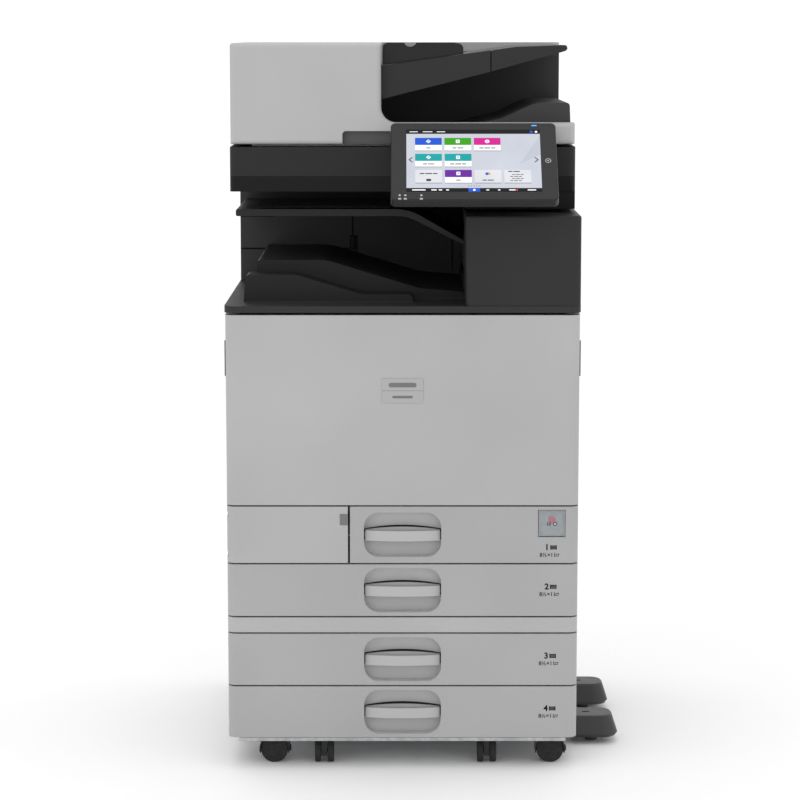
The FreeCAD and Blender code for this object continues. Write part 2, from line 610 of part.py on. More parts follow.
add("waste_cover", cut(waste, tab), tab)

# arms that carry the front door and the waste cover
ARM_T = 6.0
arms = []
for sign in (-1, 1):
    x0, x1 = span(sign, DOOR_ARM_X - ARM_W / 2, DOOR_ARM_X + ARM_W / 2)
    bar = box(x0, x1, DOOR_PIN_Y, FRAME_Y, DOOR_PIN_Z - ARM_T / 2, DOOR_PIN_Z + ARM_T / 2)
    foot = box(x0, x1, FRAME_Y - SHEET, FRAME_Y, SHELF_Z, DOOR_PIN_Z + ARM_T / 2)
    arm = fuse([bar, foot, rod_x(x0, x1, DOOR_PIN_Y, DOOR_PIN_Z, KNUCKLE_R)])
    arms.append(cut(arm, rod_x(x0 - 1, x1 + 1, DOOR_PIN_Y, DOOR_PIN_Z, PIN_R + FIT)))
for arm_z in WASTE_ARMS:
    bar = box(WASTE_PIN_X - ARM_T / 2, WASTE_PIN_X + ARM_T / 2, WASTE_PIN_IN, COVER_Y, arm_z,
              arm_z + WASTE_ARM_H)
    arm = fuse([bar, rod_z(arm_z, arm_z + WASTE_ARM_H, WASTE_PIN_X, WASTE_PIN_IN, KNUCKLE_R)])
    arms.append(cut(arm, rod_z(arm_z - 1, arm_z + WASTE_ARM_H + 1, WASTE_PIN_X, WASTE_PIN_IN, PIN_R + FIT)))
add("hinge_brackets", *arms)

# ------------------------------------------------------------------ inside the engine
LINER_Y = FRAME_Y + 1.0
LINER_T = 3.0
LINER_BACK = LINER_Y + LINER_T
UNIT_Y = LINER_BACK + TOUCH       # units slide in until they meet the liner
BELT_Z = DOOR_Z + 120.0 * DOOR_H / STANDARD_DOOR_H
BELT_H = 42.0
BELT_X = -FRAME_X + 47.0
BOTTLE_R = 32.0
BOTTLE_Z = BELT_Z + BELT_H + 46.0
BOTTLE_X = -FRAME_X + 57.0
BOTTLE_STEP = 85.0 * WIDE
BOTTLE_L = REAR_Y - 166.0
CAP_R = 27.0
COLOURS = 4
LASER_H = 46.0
DRUM_R = 14.0
DRUM_STEP = 95.0 * WIDE
UNIT_L = REAR_Y - 196.0

liner = box(-FRAME_X + 1, FRAME_X - 1, LINER_Y, LINER_BACK, SHELF_Z + SHEET, LID_Z - SHEET)
toner_shelf = box(-FRAME_X + 1, BOTTLE_X + BOTTLE_STEP * 3.5, LINER_BACK, BOTTLE_L + LINER_BACK,
                  BOTTLE_Z - BOTTLE_R - TOUCH - WALL, BOTTLE_Z - BOTTLE_R - TOUCH)
holes = []
bottles = []
for i in range(COLOURS):
    x = BOTTLE_X + i * BOTTLE_STEP
    holes.append(rod_y(LINER_Y - 1, LINER_BACK + 1, x, BOTTLE_Z, CAP_R + 0.5))
    body = rod_y(UNIT_Y, UNIT_Y + BOTTLE_L, x, BOTTLE_Z, BOTTLE_R)
    neck = rod_y(LINER_Y - 4, UNIT_Y, x, BOTTLE_Z, CAP_R)
    grip = box(x - 3, x + 3, LINER_Y - 4.6, LINER_Y - 3, BOTTLE_Z - CAP_R + 6, BOTTLE_Z + CAP_R - 6)
    bottles.append(fuse([body, neck, grip]))
add("inner_front_cover", cut(fuse([liner, toner_shelf]), holes))
add("toner_bottles", *bottles)

belt_x1 = BELT_X + DRUM_STEP * COLOURS + 30
add("imaging_units", round_rect(BELT_X, belt_x1, BELT_Z, BELT_Z + BELT_H, BELT_H / 2 - 1, UNIT_Y,
                                UNIT_Y + UNIT_L))
drums = []
laser_top = SHELF_Z + SHEET + LASER_H
for i in range(COLOURS):
    x = BELT_X + 45 + i * DRUM_STEP
    drum_z = BELT_Z - 4 - DRUM_R
    case = box(x - 38, x + 38, UNIT_Y, UNIT_Y + UNIT_L, laser_top + 6, drum_z)
    drums.append(fuse([case, rod_y(UNIT_Y, UNIT_Y + UNIT_L, x, drum_z, DRUM_R)]))
add("imaging_units", *drums)
laser = box(BELT_X, belt_x1, UNIT_Y + 20, UNIT_Y + UNIT_L, SHELF_Z + SHEET, laser_top)
window_cuts = [box(BELT_X + 40 + i * DRUM_STEP, BELT_X + 50 + i * DRUM_STEP, UNIT_Y + 40,
                   UNIT_Y + UNIT_L - 20,
                   laser_top - 2, laser_top + 1) for i in range(COLOURS)]
add("laser_unit", cut(laser, window_cuts))
FUSER_W = 80.0
fuser_x1 = FRAME_X - 12
fuser = box(fuser_x1 - FUSER_W, fuser_x1, UNIT_Y, REAR_Y - 10, LID_Z - 102, LID_Z - 37)
add("fuser_and_transfer", fuser)
transfer_x0 = belt_x1 + 4
add("fuser_and_transfer", box(transfer_x0, FRAME_X - 8, UNIT_Y, REAR_Y - 10, BELT_Z - 14, BELT_Z + 62))
WASTE_BOX_H = 80.0
add("toner_bottles", box(-FRAME_X + 6, DIVIDER_X - 4, FRAME_Y + 2, FRAME_Y + 300, SPLIT_SHELF + 3,
                         SPLIT_SHELF + 3 + WASTE_BOX_H))

BOARD_D = 24.0
board_y = REAR_Y + SHEET
controller = box(-40, FRAME_X - 30, board_y, board_y + BOARD_D, SHELF_Z + 60, LID_Z - 60)
supply = box(-FRAME_X + 20, -90, board_y, board_y + BOARD_D + 4, COVER_LOW + 15, COVER_LOW + 120)
motors = []
for i in range(3):
    motors.append(rod_y(board_y, board_y + 26, -200.0 + i * 60, SHELF_Z + 120, 21.0))
inlet = box(INLET_X - INLET_W / 2, INLET_X + INLET_W / 2, board_y + BOARD_D + 4, BODY_D,
            INLET_Z - INLET_H / 2,
            INLET_Z + INLET_H / 2)
inlet = cut(inlet, box(INLET_X - INLET_W / 2 + 2.5, INLET_X + INLET_W / 2 - 2.5, BODY_D - 14, BODY_D + 1,
                       INLET_Z - INLET_H / 2 + 2.5, INLET_Z + INLET_H / 2 - 2.5))
for i in (-1, 0, 1):
    pin_z = INLET_Z + (2.5 if i == 0 else -1.5)
    inlet = fuse([inlet, box(INLET_X + i * 7 - 1, INLET_X + i * 7 + 1, BODY_D - 15, BODY_D - 2,
                             pin_z - 2, pin_z + 2)])
add("electronics", controller, supply, inlet, *motors)

# ------------------------------------------------------------------ right-hand access door and bypass tray
BYPASS_Y0 = SIDE_DOOR_Y0 + 90.0
BYPASS_Y1 = SIDE_DOOR_Y1 - 90.0
BYPASS_Z0 = SIDE_DOOR_Z0 + 100.0
BYPASS_H = 180.0
BYPASS_T = 4.5
BYPASS_DEEP = 7.0
BYPASS_PIN_X = HALF - 4.0
BYPASS_PIN_Z = BYPASS_Z0 + 6.0
BYPASS_PIN_R = 1.5
LOW_EDGE_R = 9.0

door_x0 = HALF - SIDE_DOOR_T
corners = [(door_x0, SIDE_DOOR_Z0, 0), (HALF, SIDE_DOOR_Z0, LOW_EDGE_R), (HALF, SIDE_DOOR_Z1, 3.0),
           (door_x0, SIDE_DOOR_Z1, 0)]
side_door = front(corners, SIDE_DOOR_Y0, SIDE_DOOR_Y1)
recess = box(HALF - BYPASS_DEEP, HALF + 1, BYPASS_Y0, BYPASS_Y1, BYPASS_Z0, BYPASS_Z0 + BYPASS_H)
finger = box(HALF - 6, HALF + 1, (SIDE_DOOR_Y0 + SIDE_DOOR_Y1) / 2 - 50,
             (SIDE_DOOR_Y0 + SIDE_DOOR_Y1) / 2 + 50,
             SIDE_DOOR_Z1 - 40, SIDE_DOOR_Z1 - 18)
bypass_bore = rod_y(BYPASS_Y0 - 3, BYPASS_Y1 + 3, BYPASS_PIN_X, BYPASS_PIN_Z, BYPASS_PIN_R + FIT)
side_door = cut(side_door, [recess, finger, bypass_bore])
side_ribs = []
for i in range(9):
    y = SIDE_DOOR_Y0 + 50 + i * (SIDE_DOOR_Y1 - SIDE_DOOR_Y0 - 100) / 8
    side_ribs.append(box(door_x0 - 3, door_x0 + 1, y - 1, y + 1, SIDE_DOOR_Z0 + 100, SIDE_DOOR_Z1 - 60))
side_pins = [rod_y(SIDE_DOOR_Y0 - SIDE_GAP - WALL + 0.3, SIDE_DOOR_Y0 + 1, SIDE_PIN_X, SIDE_PIN_Z, PIN_R),
             rod_y(SIDE_DOOR_Y1 - 1, SIDE_DOOR_Y1 + SIDE_GAP + WALL - 0.3, SIDE_PIN_X, SIDE_PIN_Z, PIN_R)]
add("right_door", fuse([side_door] + side_ribs + side_pins))

flat = box(HALF - 5.5, HALF - 5.5 + BYPASS_T, BYPASS_Y0 + 1.5, BYPASS_Y1 - 1.5, BYPASS_PIN_Z,
           BYPASS_Z0 + BYPASS_H - 2)
notch = box(HALF - 6, HALF, (BYPASS_Y0 + BYPASS_Y1) / 2 - 35, (BYPASS_Y0 + BYPASS_Y1) / 2 + 35,
            BYPASS_Z0 + BYPASS_H - 16, BYPASS_Z0 + BYPASS_H)
hub = rod_y(BYPASS_Y0 + 1.5, BYPASS_Y1 - 1.5, BYPASS_PIN_X, BYPASS_PIN_Z, 2.6)
axle = rod_y(BYPASS_Y0 - 2.5, BYPASS_Y1 + 2.5, BYPASS_PIN_X, BYPASS_PIN_Z, BYPASS_PIN_R)
add("bypass_tray", fuse([cut(flat, notch), hub, axle]))

# ------------------------------------------------------------------ output section
LID_OVER = 1.25                   # rim of the top cover beyond the fronts


def spread(points, y0, y1):
    """Tray profile over the top cover, its X and its radii stretched with the machine's width."""
    return front([(x * WIDE, LID_TOP + up, radius * min(WIDE, 1.0)) for x, up, radius in points], y0, y1)


lid = plan([(-HALF - LID_OVER, -LID_OVER, FRONT_R + 1), (HALF + LID_OVER, -LID_OVER, FRONT_R + 1),
            (HALF + LID_OVER, BODY_D, 4), (-HALF - LID_OVER, BODY_D, 4)], LID_Z, LID_TOP)
low_step = spread([(-266, -2, 0), (-262, 46, 6), (-178, 46, 60), (-68, 13, 60), (14, 13, 5), (20, -2, 0)],
                  WAVE_Y0, WAVE_Y1 + 1)
high_step = spread([(-249, -2, 0), (-246, 66, 6), (-129, 66, 80), (30, 18, 60), (EXIT_X / WIDE, 12, 0),
                    (EXIT_X / WIDE, -2, 0)], WAVE_Y1, CAVITY_Y)
hollow = spread([(-245, -LID_T - 1, 0), (-242, 60, 4), (-131, 60, 60), (28, 8, 60),
                 (EXIT_X / WIDE - 4, 6, 0),
                 (EXIT_X / WIDE - 4, -LID_T - 1, 0)], WAVE_Y1 + 4, CAVITY_Y - 4)
add("top_cover", cut(fuse([lid, low_step, high_step]), hollow))

WALL_T = 4.0
GROOVE = 1.5
wall_block = box(-HALF, EXIT_X, CAVITY_Y, BACK_Y, LID_TOP, SCAN_Z)
wall_block = cut(wall_block, box(-HALF + WALL_T, EXIT_X - WALL_T, CAVITY_Y + WALL_T, BACK_Y - WALL_T,
                                 LID_TOP - 1,
                                 SCAN_Z - WALL_T))
seams = [box(-HALF + 10, -95 * WIDE, CAVITY_Y - 1, CAVITY_Y + GROOVE, LID_TOP + 58, LID_TOP + 58 + GROOVE),
         box(-90, -90 + GROOVE, CAVITY_Y - 1, CAVITY_Y + GROOVE, LID_TOP + 5, LID_TOP + 115),
         box(-90, -79, CAVITY_Y - 1, CAVITY_Y + 3, LID_TOP + 58, LID_TOP + 81),
         box(90, 90 + GROOVE, CAVITY_Y - 1, CAVITY_Y + GROOVE, LID_TOP + 5, LID_TOP + 115)]
add("cavity_wall", cut(wall_block, seams))

HOUSE_R = 10.0
ROLLER_X = EXIT_X + 12.0
ROLLER_Z = LID_TOP + 41.0
ROLLER_R = 9.0
ROLLER_SHAFT = 3.0
SLOT_Y0 = BIN_Y
SLOT_Y1 = CAVITY_Y - 20.0
house = plan([(EXIT_X, 0, HOUSE_R), (HALF + LID_OVER - 0.5, 0, HOUSE_R), (HALF + LID_OVER - 0.5, BACK_Y, 0),
              (EXIT_X, BACK_Y, 0)], LID_TOP, EXIT_TOP)
top_edges = [edge for edge in house.Edges if edge.BoundBox.ZMin > EXIT_TOP - 0.01 and edge.BoundBox.YMin < BACK_Y - 1]
house = house.makeFillet(4.0, top_edges)
room = plan([(EXIT_X + WALL, WALL, HOUSE_R - WALL), (HALF - WALL, WALL, HOUSE_R - WALL),
             (HALF - WALL, BACK_Y - WALL, 0), (EXIT_X + WALL, BACK_Y - WALL, 0)], LID_TOP - 1, EXIT_TOP - 5)
low_slot = box(EXIT_X - 1, EXIT_X + WALL + 1, SLOT_Y0, SLOT_Y1, ROLLER_Z - 13, ROLLER_Z + 22)
high_slot = box(EXIT_X - 1, EXIT_X + WALL + 1, SLOT_Y0, SLOT_Y1, LID_TOP + 104, LID_TOP + 126)
house = cut(house, [room, low_slot, high_slot])
bearings = []
for y in (SLOT_Y0 - 8, SLOT_Y1 + 4):
    bearings.append(box(EXIT_X + WALL - 1, ROLLER_X + 8, y, y + 4, ROLLER_Z - 8, ROLLER_Z + 8))
house = fuse([house] + bearings)
house = cut(house, rod_y(SLOT_Y0 - 9, SLOT_Y1 + 9, ROLLER_X, ROLLER_Z, ROLLER_SHAFT + FIT))
add("exit_housing", house)
roller = [rod_y(SLOT_Y0 - 8, SLOT_Y1 + 8, ROLLER_X, ROLLER_Z, ROLLER_SHAFT)]
for i in range(4):
    y = SLOT_Y0 + 24 + i * (SLOT_Y1 - SLOT_Y0 - 70) / 3
    roller.append(rod_y(y, y + 22, ROLLER_X, ROLLER_Z, ROLLER_R))
add("exit_roller", fuse(roller))

BIN_RIGHT_Z = LID_TOP + 97.0      # where the bin meets the output housing
BIN_BEND = EXIT_X - 93.0          # where the bin starts to fall towards the housing
bin_profile = [(-HALF + 10.5, BIN_Z, 3), (-HALF + 10.5, BIN_Z + BIN_T, 3), (BIN_BEND, BIN_Z + BIN_T, 83),
               (EXIT_X, BIN_RIGHT_Z, 0), (EXIT_X, BIN_RIGHT_Z - 8, 0), (BIN_BEND - 3, BIN_Z, 70)]
bin_shelf = front(bin_profile, BIN_Y, CAVITY_Y)
RIB_STEP = (CAVITY_Y - BIN_Y - 75) / 5
bin_ribs = []
for i in range(6):
    y = BIN_Y + 40 + i * RIB_STEP
    bin_ribs.append(box(-HALF + 43.5, BIN_BEND - 31, y - 1.5, y + 1.5, BIN_Z + BIN_T - 1,
                        BIN_Z + BIN_T + 2))
add("bin_tray", fuse([bin_shelf] + bin_ribs))

# ------------------------------------------------------------------ scanner
CREASE_Z = SCAN_Z + 26.0
CREASE_IN = 2.5
NECK_GAP = 6.0                    # shadow gap between the neck and the output housing
NECK_IN = 4.0                     # the neck stands back from the scanner's front
GLASS_X0 = -SCAN_HALF + 36.0
GLASS_X1 = SCAN_HALF - 76.0
GLASS_Y0 = SCAN_Y + 35.0
GLASS_Y1 = BACK_Y - 180.0
GLASS_T = 2.5
GLASS_LEDGE = 5.0
GLASS_GAP = 0.3
SCAN_R = 12.0
scanner = plan([(-SCAN_HALF, SCAN_Y, SCAN_R), (SCAN_HALF, SCAN_Y, SCAN_R), (SCAN_HALF, BACK_Y, 0),
                (-SCAN_HALF, BACK_Y, 0)], SCAN_Z, SCAN_TOP)
wedge = side([(SCAN_Y - 5, SCAN_Z - 1, 0), (SCAN_Y + CREASE_IN, SCAN_Z - 1, 0), (SCAN_Y, CREASE_Z, 0),
              (SCAN_Y - 5, CREASE_Z, 0)], -SCAN_HALF - 1, SCAN_HALF + 1)
scan_room = box(-SCAN_HALF + SCAN_T, SCAN_HALF - SCAN_T, SCAN_Y + SCAN_T + CREASE_IN, BACK_Y - SCAN_T,
                SCAN_Z + SCAN_T,
                SCAN_TOP - SCAN_T)
glass_hole = box(GLASS_X0 + GLASS_LEDGE, GLASS_X1 - GLASS_LEDGE, GLASS_Y0 + GLASS_LEDGE,
                 GLASS_Y1 - GLASS_LEDGE,
                 SCAN_TOP - SCAN_T - 1, SCAN_TOP + 1)
glass_seat = box(GLASS_X0 - GLASS_GAP, GLASS_X1 + GLASS_GAP, GLASS_Y0 - GLASS_GAP, GLASS_Y1 + GLASS_GAP,
                 SCAN_TOP - GLASS_T, SCAN_TOP + 1)
neck_z = EXIT_TOP + NECK_GAP
neck = cut(box(EXIT_X + 1, SCAN_HALF - 0.5, SCAN_Y + NECK_IN, BACK_Y - 2, neck_z, SCAN_Z + 1),
           box(EXIT_X + 1 + SCAN_T, SCAN_HALF - 0.5 - SCAN_T, SCAN_Y + NECK_IN + SCAN_T,
               BACK_Y - 2 - SCAN_T,
               neck_z + SCAN_T, SCAN_Z - 1))
spacer = box(EXIT_X + 20, HALF - 30, SCAN_Y + 60, BACK_Y - 60, EXIT_TOP, neck_z + SCAN_T)
add("scanner_housing", fuse([cut(scanner, [wedge, scan_room, glass_hole, glass_seat]), neck, spacer]))
add("platen_glass", box(GLASS_X0, GLASS_X1, GLASS_Y0, GLASS_Y1, SCAN_TOP - GLASS_T, SCAN_TOP))

CARRIAGE_W = 40.0
CARRIAGE_H = 34.0
SCAN_RAIL_H = 26.0
rail_top = SCAN_Z + SCAN_T + SCAN_RAIL_H
scan_rails = []
for y in (GLASS_Y0 + 10, GLASS_Y1 - 22):
    scan_rails.append(box(-SCAN_HALF + SCAN_T + 4, SCAN_HALF - SCAN_T - 4, y, y + 12, SCAN_Z + SCAN_T,
                          rail_top))
scan_motor = rod_z(SCAN_Z + SCAN_T, SCAN_Z + SCAN_T + 30, -SCAN_HALF + 60, BACK_Y - 70, 21.0)
add("scanner_rails", *(scan_rails + [scan_motor]))
carriage_x = GLASS_X0 - 10
lamp_bar = box(carriage_x, carriage_x + CARRIAGE_W, GLASS_Y0, GLASS_Y1, rail_top + RUN,
               rail_top + RUN + CARRIAGE_H)
lamp_slit = box(carriage_x + 16, carriage_x + 22, GLASS_Y0 + 8, GLASS_Y1 - 8, rail_top + CARRIAGE_H - 6,
                rail_top + CARRIAGE_H + 2)
add("scan_carriage", cut(lamp_bar, lamp_slit))

# ------------------------------------------------------------------ operation panel
PANEL_PIN_Y = 18.0
PANEL_PIN_Z = SCAN_TOP - 39.0
ARM_HALF = 40.0
EAR_T = 8.0
EAR_R = 9.0
SCREEN_W = 220.0
SCREEN_L = 137.0
SCREEN_T = 1.5
SCREEN_X = -0.5                   # screen centre from the panel's centre
SCREEN_LOW = 17.0                 # bezel under the screen


def tilt(shape):
    """From flat (X across, Y up the slope, Z out of the face) to the panel's resting tilt."""
    placed = shape.copy()
    placed.rotate(V(0, 0, 0), V(1, 0, 0), PANEL_TILT)
    placed.translate(V(PANEL_X, PANEL_LOW_Y, PANEL_LOW_Z))
    return placed


half_w = PANEL_W / 2
slab = plan([(-half_w, 0, 8), (half_w, 0, 8), (half_w, PANEL_L, 8), (-half_w, PANEL_L, 8)], -PANEL_T, 0)
slab = slab.makeFillet(2.5, [edge for edge in slab.Edges if edge.BoundBox.ZMin > -0.01])
slab = slab.makeFillet(4.0, [edge for edge in slab.Edges if edge.BoundBox.ZMax < -PANEL_T + 0.01])
screen_room = box(SCREEN_X - SCREEN_W / 2, SCREEN_X + SCREEN_W / 2, SCREEN_LOW, SCREEN_LOW + SCREEN_L,
                  -SCREEN_T, 1)
screen = box(SCREEN_X - SCREEN_W / 2 + 0.2, SCREEN_X + SCREEN_W / 2 - 0.2, SCREEN_LOW + 0.2,
             SCREEN_LOW + SCREEN_L - 0.2,
             -SCREEN_T, -0.1)
panel = tilt(cut(slab, screen_room))
# the ears grow from the panel's back, which lies along Z = Y + back_offset
back_offset = PANEL_LOW_Z - PANEL_LOW_Y - PANEL_T * math.sqrt(2)
ears = []
for sign in (-1, 1):
    x0, x1 = span(sign, ARM_HALF + RIB_GAP, ARM_HALF + RIB_GAP + EAR_T)
    foot_y = (PANEL_PIN_Y + PANEL_PIN_Z - back_offset) / 2
    web = [(foot_y - 14, foot_y - 14 + back_offset + 2, 0), (PANEL_PIN_Y - EAR_R, PANEL_PIN_Z, 0),
           (PANEL_PIN_Y, PANEL_PIN_Z - EAR_R, 0), (PANEL_PIN_Y + EAR_R, PANEL_PIN_Z, 0),
           (foot_y + 14, foot_y + 14 + back_offset + 2, 0)]
    ears.append(side(web, PANEL_X + x0, PANEL_X + x1))
    ears.append(rod_x(PANEL_X + x0, PANEL_X + x1, PANEL_PIN_Y, PANEL_PIN_Z, EAR_R))
pin_x0 = PANEL_X - ARM_HALF - RIB_GAP - EAR_T
pin_x1 = PANEL_X + ARM_HALF + RIB_GAP + EAR_T
panel = fuse([panel] + ears)
add("panel_housing", cut(panel, rod_x(pin_x0 - 1, pin_x1 + 1, PANEL_PIN_Y, PANEL_PIN_Z, PANEL_PIN_R + FIT)))
add("panel_screen", tilt(screen))

panel_arm = fuse([box(PANEL_X - ARM_HALF, PANEL_X + ARM_HALF, PANEL_PIN_Y, SCAN_Y, PANEL_PIN_Z - 7,
                      PANEL_PIN_Z + 7),
                  rod_x(PANEL_X - ARM_HALF, PANEL_X + ARM_HALF, PANEL_PIN_Y, PANEL_PIN_Z, EAR_R),
                  rod_x(pin_x0 + 0.3, pin_x1 - 0.3, PANEL_PIN_Y, PANEL_PIN_Z, PANEL_PIN_R)])
HINGE_CHEEK = 5.0
FEED_PIN_R = 3.0
FEED_KNUCKLE = 6.0
FEED_EAR = 20.0
cheeks = []
for centre in (-FEED_HINGE_X, FEED_HINGE_X):
    pieces = [rod_x(centre - FEED_EAR / 2 - 0.5 - HINGE_CHEEK, centre + FEED_EAR / 2 + 0.5 + HINGE_CHEEK,
                    FEED_PIN_Y, FEED_PIN_Z, FEED_PIN_R)]
    for x in (centre - FEED_EAR / 2 - 0.5 - HINGE_CHEEK, centre + FEED_EAR / 2 + 0.5):
        pieces.append(box(x, x + HINGE_CHEEK, BACK_Y, FEED_PIN_Y + FEED_KNUCKLE, SCAN_TOP - 35, FEED_PIN_Z))
        pieces.append(rod_x(x, x + HINGE_CHEEK, FEED_PIN_Y, FEED_PIN_Z, FEED_KNUCKLE))
    pieces.append(box(centre - FEED_EAR / 2 - 1, centre + FEED_EAR / 2 + 1, BACK_Y, BACK_Y + 4,
                      SCAN_TOP - 35, SCAN_TOP - 12))
    cheeks.append(fuse(pieces))
add("hinge_brackets", panel_arm, *cheeks)

# ------------------------------------------------------------------ document feeder
FEED_FLOOR = 12.0
LEFT_WALL = 4.0
BLOCK_TOP = HOOD_Z - 3.0
SCOOP_X0 = PANEL_X - 216.5
SCOOP_X1 = PANEL_X + 83.5
SCOOP_H = 22.0
SCOOP_D = 12.0
BACK_TOP = FEED_TOP - 16.0
face = front([(-FEED_HALF, FEED_Z, 0), (FEED_HALF, FEED_Z, 3), (FEED_HALF, FEED_Z + BAND_H, 3),
              (FEED_SPLIT, FEED_Z + BAND_H, 25), (FEED_SPLIT, FEED_TOP, 3), (-FEED_HALF, FEED_TOP, 5)],
             SCAN_Y, SCAN_Y + FACE_D)
corner_edges = [edge for edge in face.Edges if abs(edge.BoundBox.XMax + FEED_HALF) < 0.01
                and edge.BoundBox.YMax < SCAN_Y + 0.01 and edge.BoundBox.ZLength > 100]
face = face.makeFillet(8.0, corner_edges)
scoop = front([(SCOOP_X0, FEED_Z - 1, 0), (SCOOP_X1, FEED_Z - 1, 0), (SCOOP_X1, FEED_Z + SCOOP_H, 6),
               (SCOOP_X0, FEED_Z + SCOOP_H, 6)], SCAN_Y - 1, SCAN_Y + SCOOP_D)
add("feeder_covers", cut(face, scoop))

ARC_STEP_X = FEED_HALF - 216.5    # where the lower output tray starts to rise
base_y = SCAN_Y + FACE_D
floor_slab = box(-FEED_HALF, FEED_HALF, base_y, FEED_BACK, FEED_Z, FEED_Z + FEED_FLOOR)
left_box = cut(box(-FEED_HALF, FEED_SPLIT, base_y, REAR_HOOD_Y, FEED_Z, BLOCK_TOP),
               box(-FEED_HALF + 20, FEED_SPLIT - LEFT_WALL, base_y + LEFT_WALL, REAR_HOOD_Y - 1,
                   FEED_Z + FEED_FLOOR,
                   BLOCK_TOP + 1))
paper_gap = box(FEED_SPLIT - LEFT_WALL - 1, FEED_SPLIT + 1, TRAY_Y0 + 10, REAR_HOOD_Y - 12, FEED_Z + 25,
                FEED_Z + 50)
rear_box = plan([(-FEED_HALF, REAR_HOOD_Y, 0), (FEED_HALF - 5, REAR_HOOD_Y, 0),
                 (FEED_HALF - 5, FEED_BACK, 3),
                 (-FEED_HALF, FEED_BACK, 3)], FEED_Z, BACK_TOP)
rear_room = box(-FEED_HALF + LEFT_WALL, FEED_HALF - 5 - LEFT_WALL, REAR_HOOD_Y + LEFT_WALL,
                FEED_BACK - LEFT_WALL,
                FEED_Z + FEED_FLOOR, BACK_TOP + 1)
output = front([(-FEED_HALF + 30, FEED_Z, 0), (ARC_STEP_X, FEED_Z + FEED_FLOOR + 8, 200),
                (FEED_HALF - 121.5, FEED_Z + 42, 60),
                (FEED_HALF - 64.5, FEED_Z + 68.5, 60), (FEED_HALF - 8, FEED_Z + 68.5, 6),
                (FEED_HALF - 5, FEED_Z, 0)],
               base_y, REAR_HOOD_Y)
output = cut(output, box(-FEED_HALF, FEED_SPLIT, 0, BODY_D, FEED_Z, FEED_TOP))
feed_ears = []
for centre in (-FEED_HINGE_X, FEED_HINGE_X):
    feed_ears.append(box(centre - FEED_EAR / 2, centre + FEED_EAR / 2, FEED_BACK - 1, FEED_PIN_Y,
                         FEED_Z + 1, FEED_PIN_Z + 6))
    feed_ears.append(rod_x(centre - FEED_EAR / 2, centre + FEED_EAR / 2, FEED_PIN_Y, FEED_PIN_Z,
                           FEED_KNUCKLE))
feed_bores = [rod_x(-FEED_HINGE_X - 12, -FEED_HINGE_X + 12, FEED_PIN_Y, FEED_PIN_Z, FEED_PIN_R + FIT),
              rod_x(FEED_HINGE_X - 12, FEED_HINGE_X + 12, FEED_PIN_Y, FEED_PIN_Z, FEED_PIN_R + FIT)]

FEED_ROLL_R = 14.0
FEED_SHAFT_R = 4.0
FEED_ROLL_X = FEED_SPLIT - 60.0
FEED_ROLL_Z = BLOCK_TOP - 22.0
HOOD_PIN_X = -FEED_HALF + 5.7
HOOD_PIN_Z = HOOD_Z + 8.0
HOOD_PIN_R = 2.5
HOOD_LUG = 8.0
hood_y1 = REAR_HOOD_Y - 1.0
lug_ys = (base_y + 20, hood_y1 - 20 - HOOD_LUG)
lugs = []
lug_bores = []
for y in lug_ys:
    lugs.append(box(HOOD_PIN_X - 4, HOOD_PIN_X + 10, y, y + HOOD_LUG, BLOCK_TOP - 2, HOOD_PIN_Z))
    lugs.append(rod_y(y, y + HOOD_LUG, HOOD_PIN_X, HOOD_PIN_Z, 4.0))
    lug_bores.append(rod_y(y - 1, y + HOOD_LUG + 1, HOOD_PIN_X, HOOD_PIN_Z, HOOD_PIN_R + FIT))
feed_bores.append(rod_y(base_y + 0.5, REAR_HOOD_Y + 2.5, FEED_ROLL_X, FEED_ROLL_Z, FEED_SHAFT_R + FIT))
feeder_body = fuse([cut(fuse([floor_slab, left_box, cut(rear_box, rear_room), output]),
                        paper_gap)] + feed_ears + lugs)
feeder_body = cut(feeder_body, feed_bores + lug_bores)
add("feeder_body", feeder_body)
rear_cap = plan([(-FEED_HALF, REAR_HOOD_Y, 0), (FEED_HALF - 5, REAR_HOOD_Y, 3),
                 (FEED_HALF - 5, FEED_BACK, 3),
                 (-FEED_HALF, FEED_BACK, 3)], BACK_TOP, FEED_TOP)
add("feeder_covers", rear_cap)

# lifting cover over the feed rollers
hood = front([(-FEED_HALF, HOOD_Z, 0), (FEED_SPLIT, HOOD_Z, 0), (FEED_SPLIT, FEED_TOP, 3),
              (-FEED_HALF, FEED_TOP, 5)],
             base_y + 0.5, hood_y1)
hood_room = box(-FEED_HALF + 3.5, FEED_SPLIT - 3, base_y + 3.5, hood_y1 - 3, HOOD_Z - 1, FEED_TOP - 4)
hood = cut(hood, hood_room)
hood_adds = []
hood_cuts = []
for y in lug_ys:
    hood_cuts.append(box(-FEED_HALF - 1, HOOD_PIN_X + 12, y - 0.8, y + HOOD_LUG + 0.8, HOOD_Z - 1,
                         HOOD_PIN_Z + 6))
    for rib_y in (y - 0.8 - RIB_T, y + HOOD_LUG + 0.8):
        hood_adds.append(box(-FEED_HALF + 3, HOOD_PIN_X + 5, rib_y, rib_y + RIB_T, HOOD_PIN_Z - 5,
                             FEED_TOP - 3.5))
    hood_adds.append(rod_y(y - 2, y + HOOD_LUG + 2, HOOD_PIN_X, HOOD_PIN_Z, HOOD_PIN_R))
add("feed_cover", fuse([cut(hood, hood_cuts)] + hood_adds))

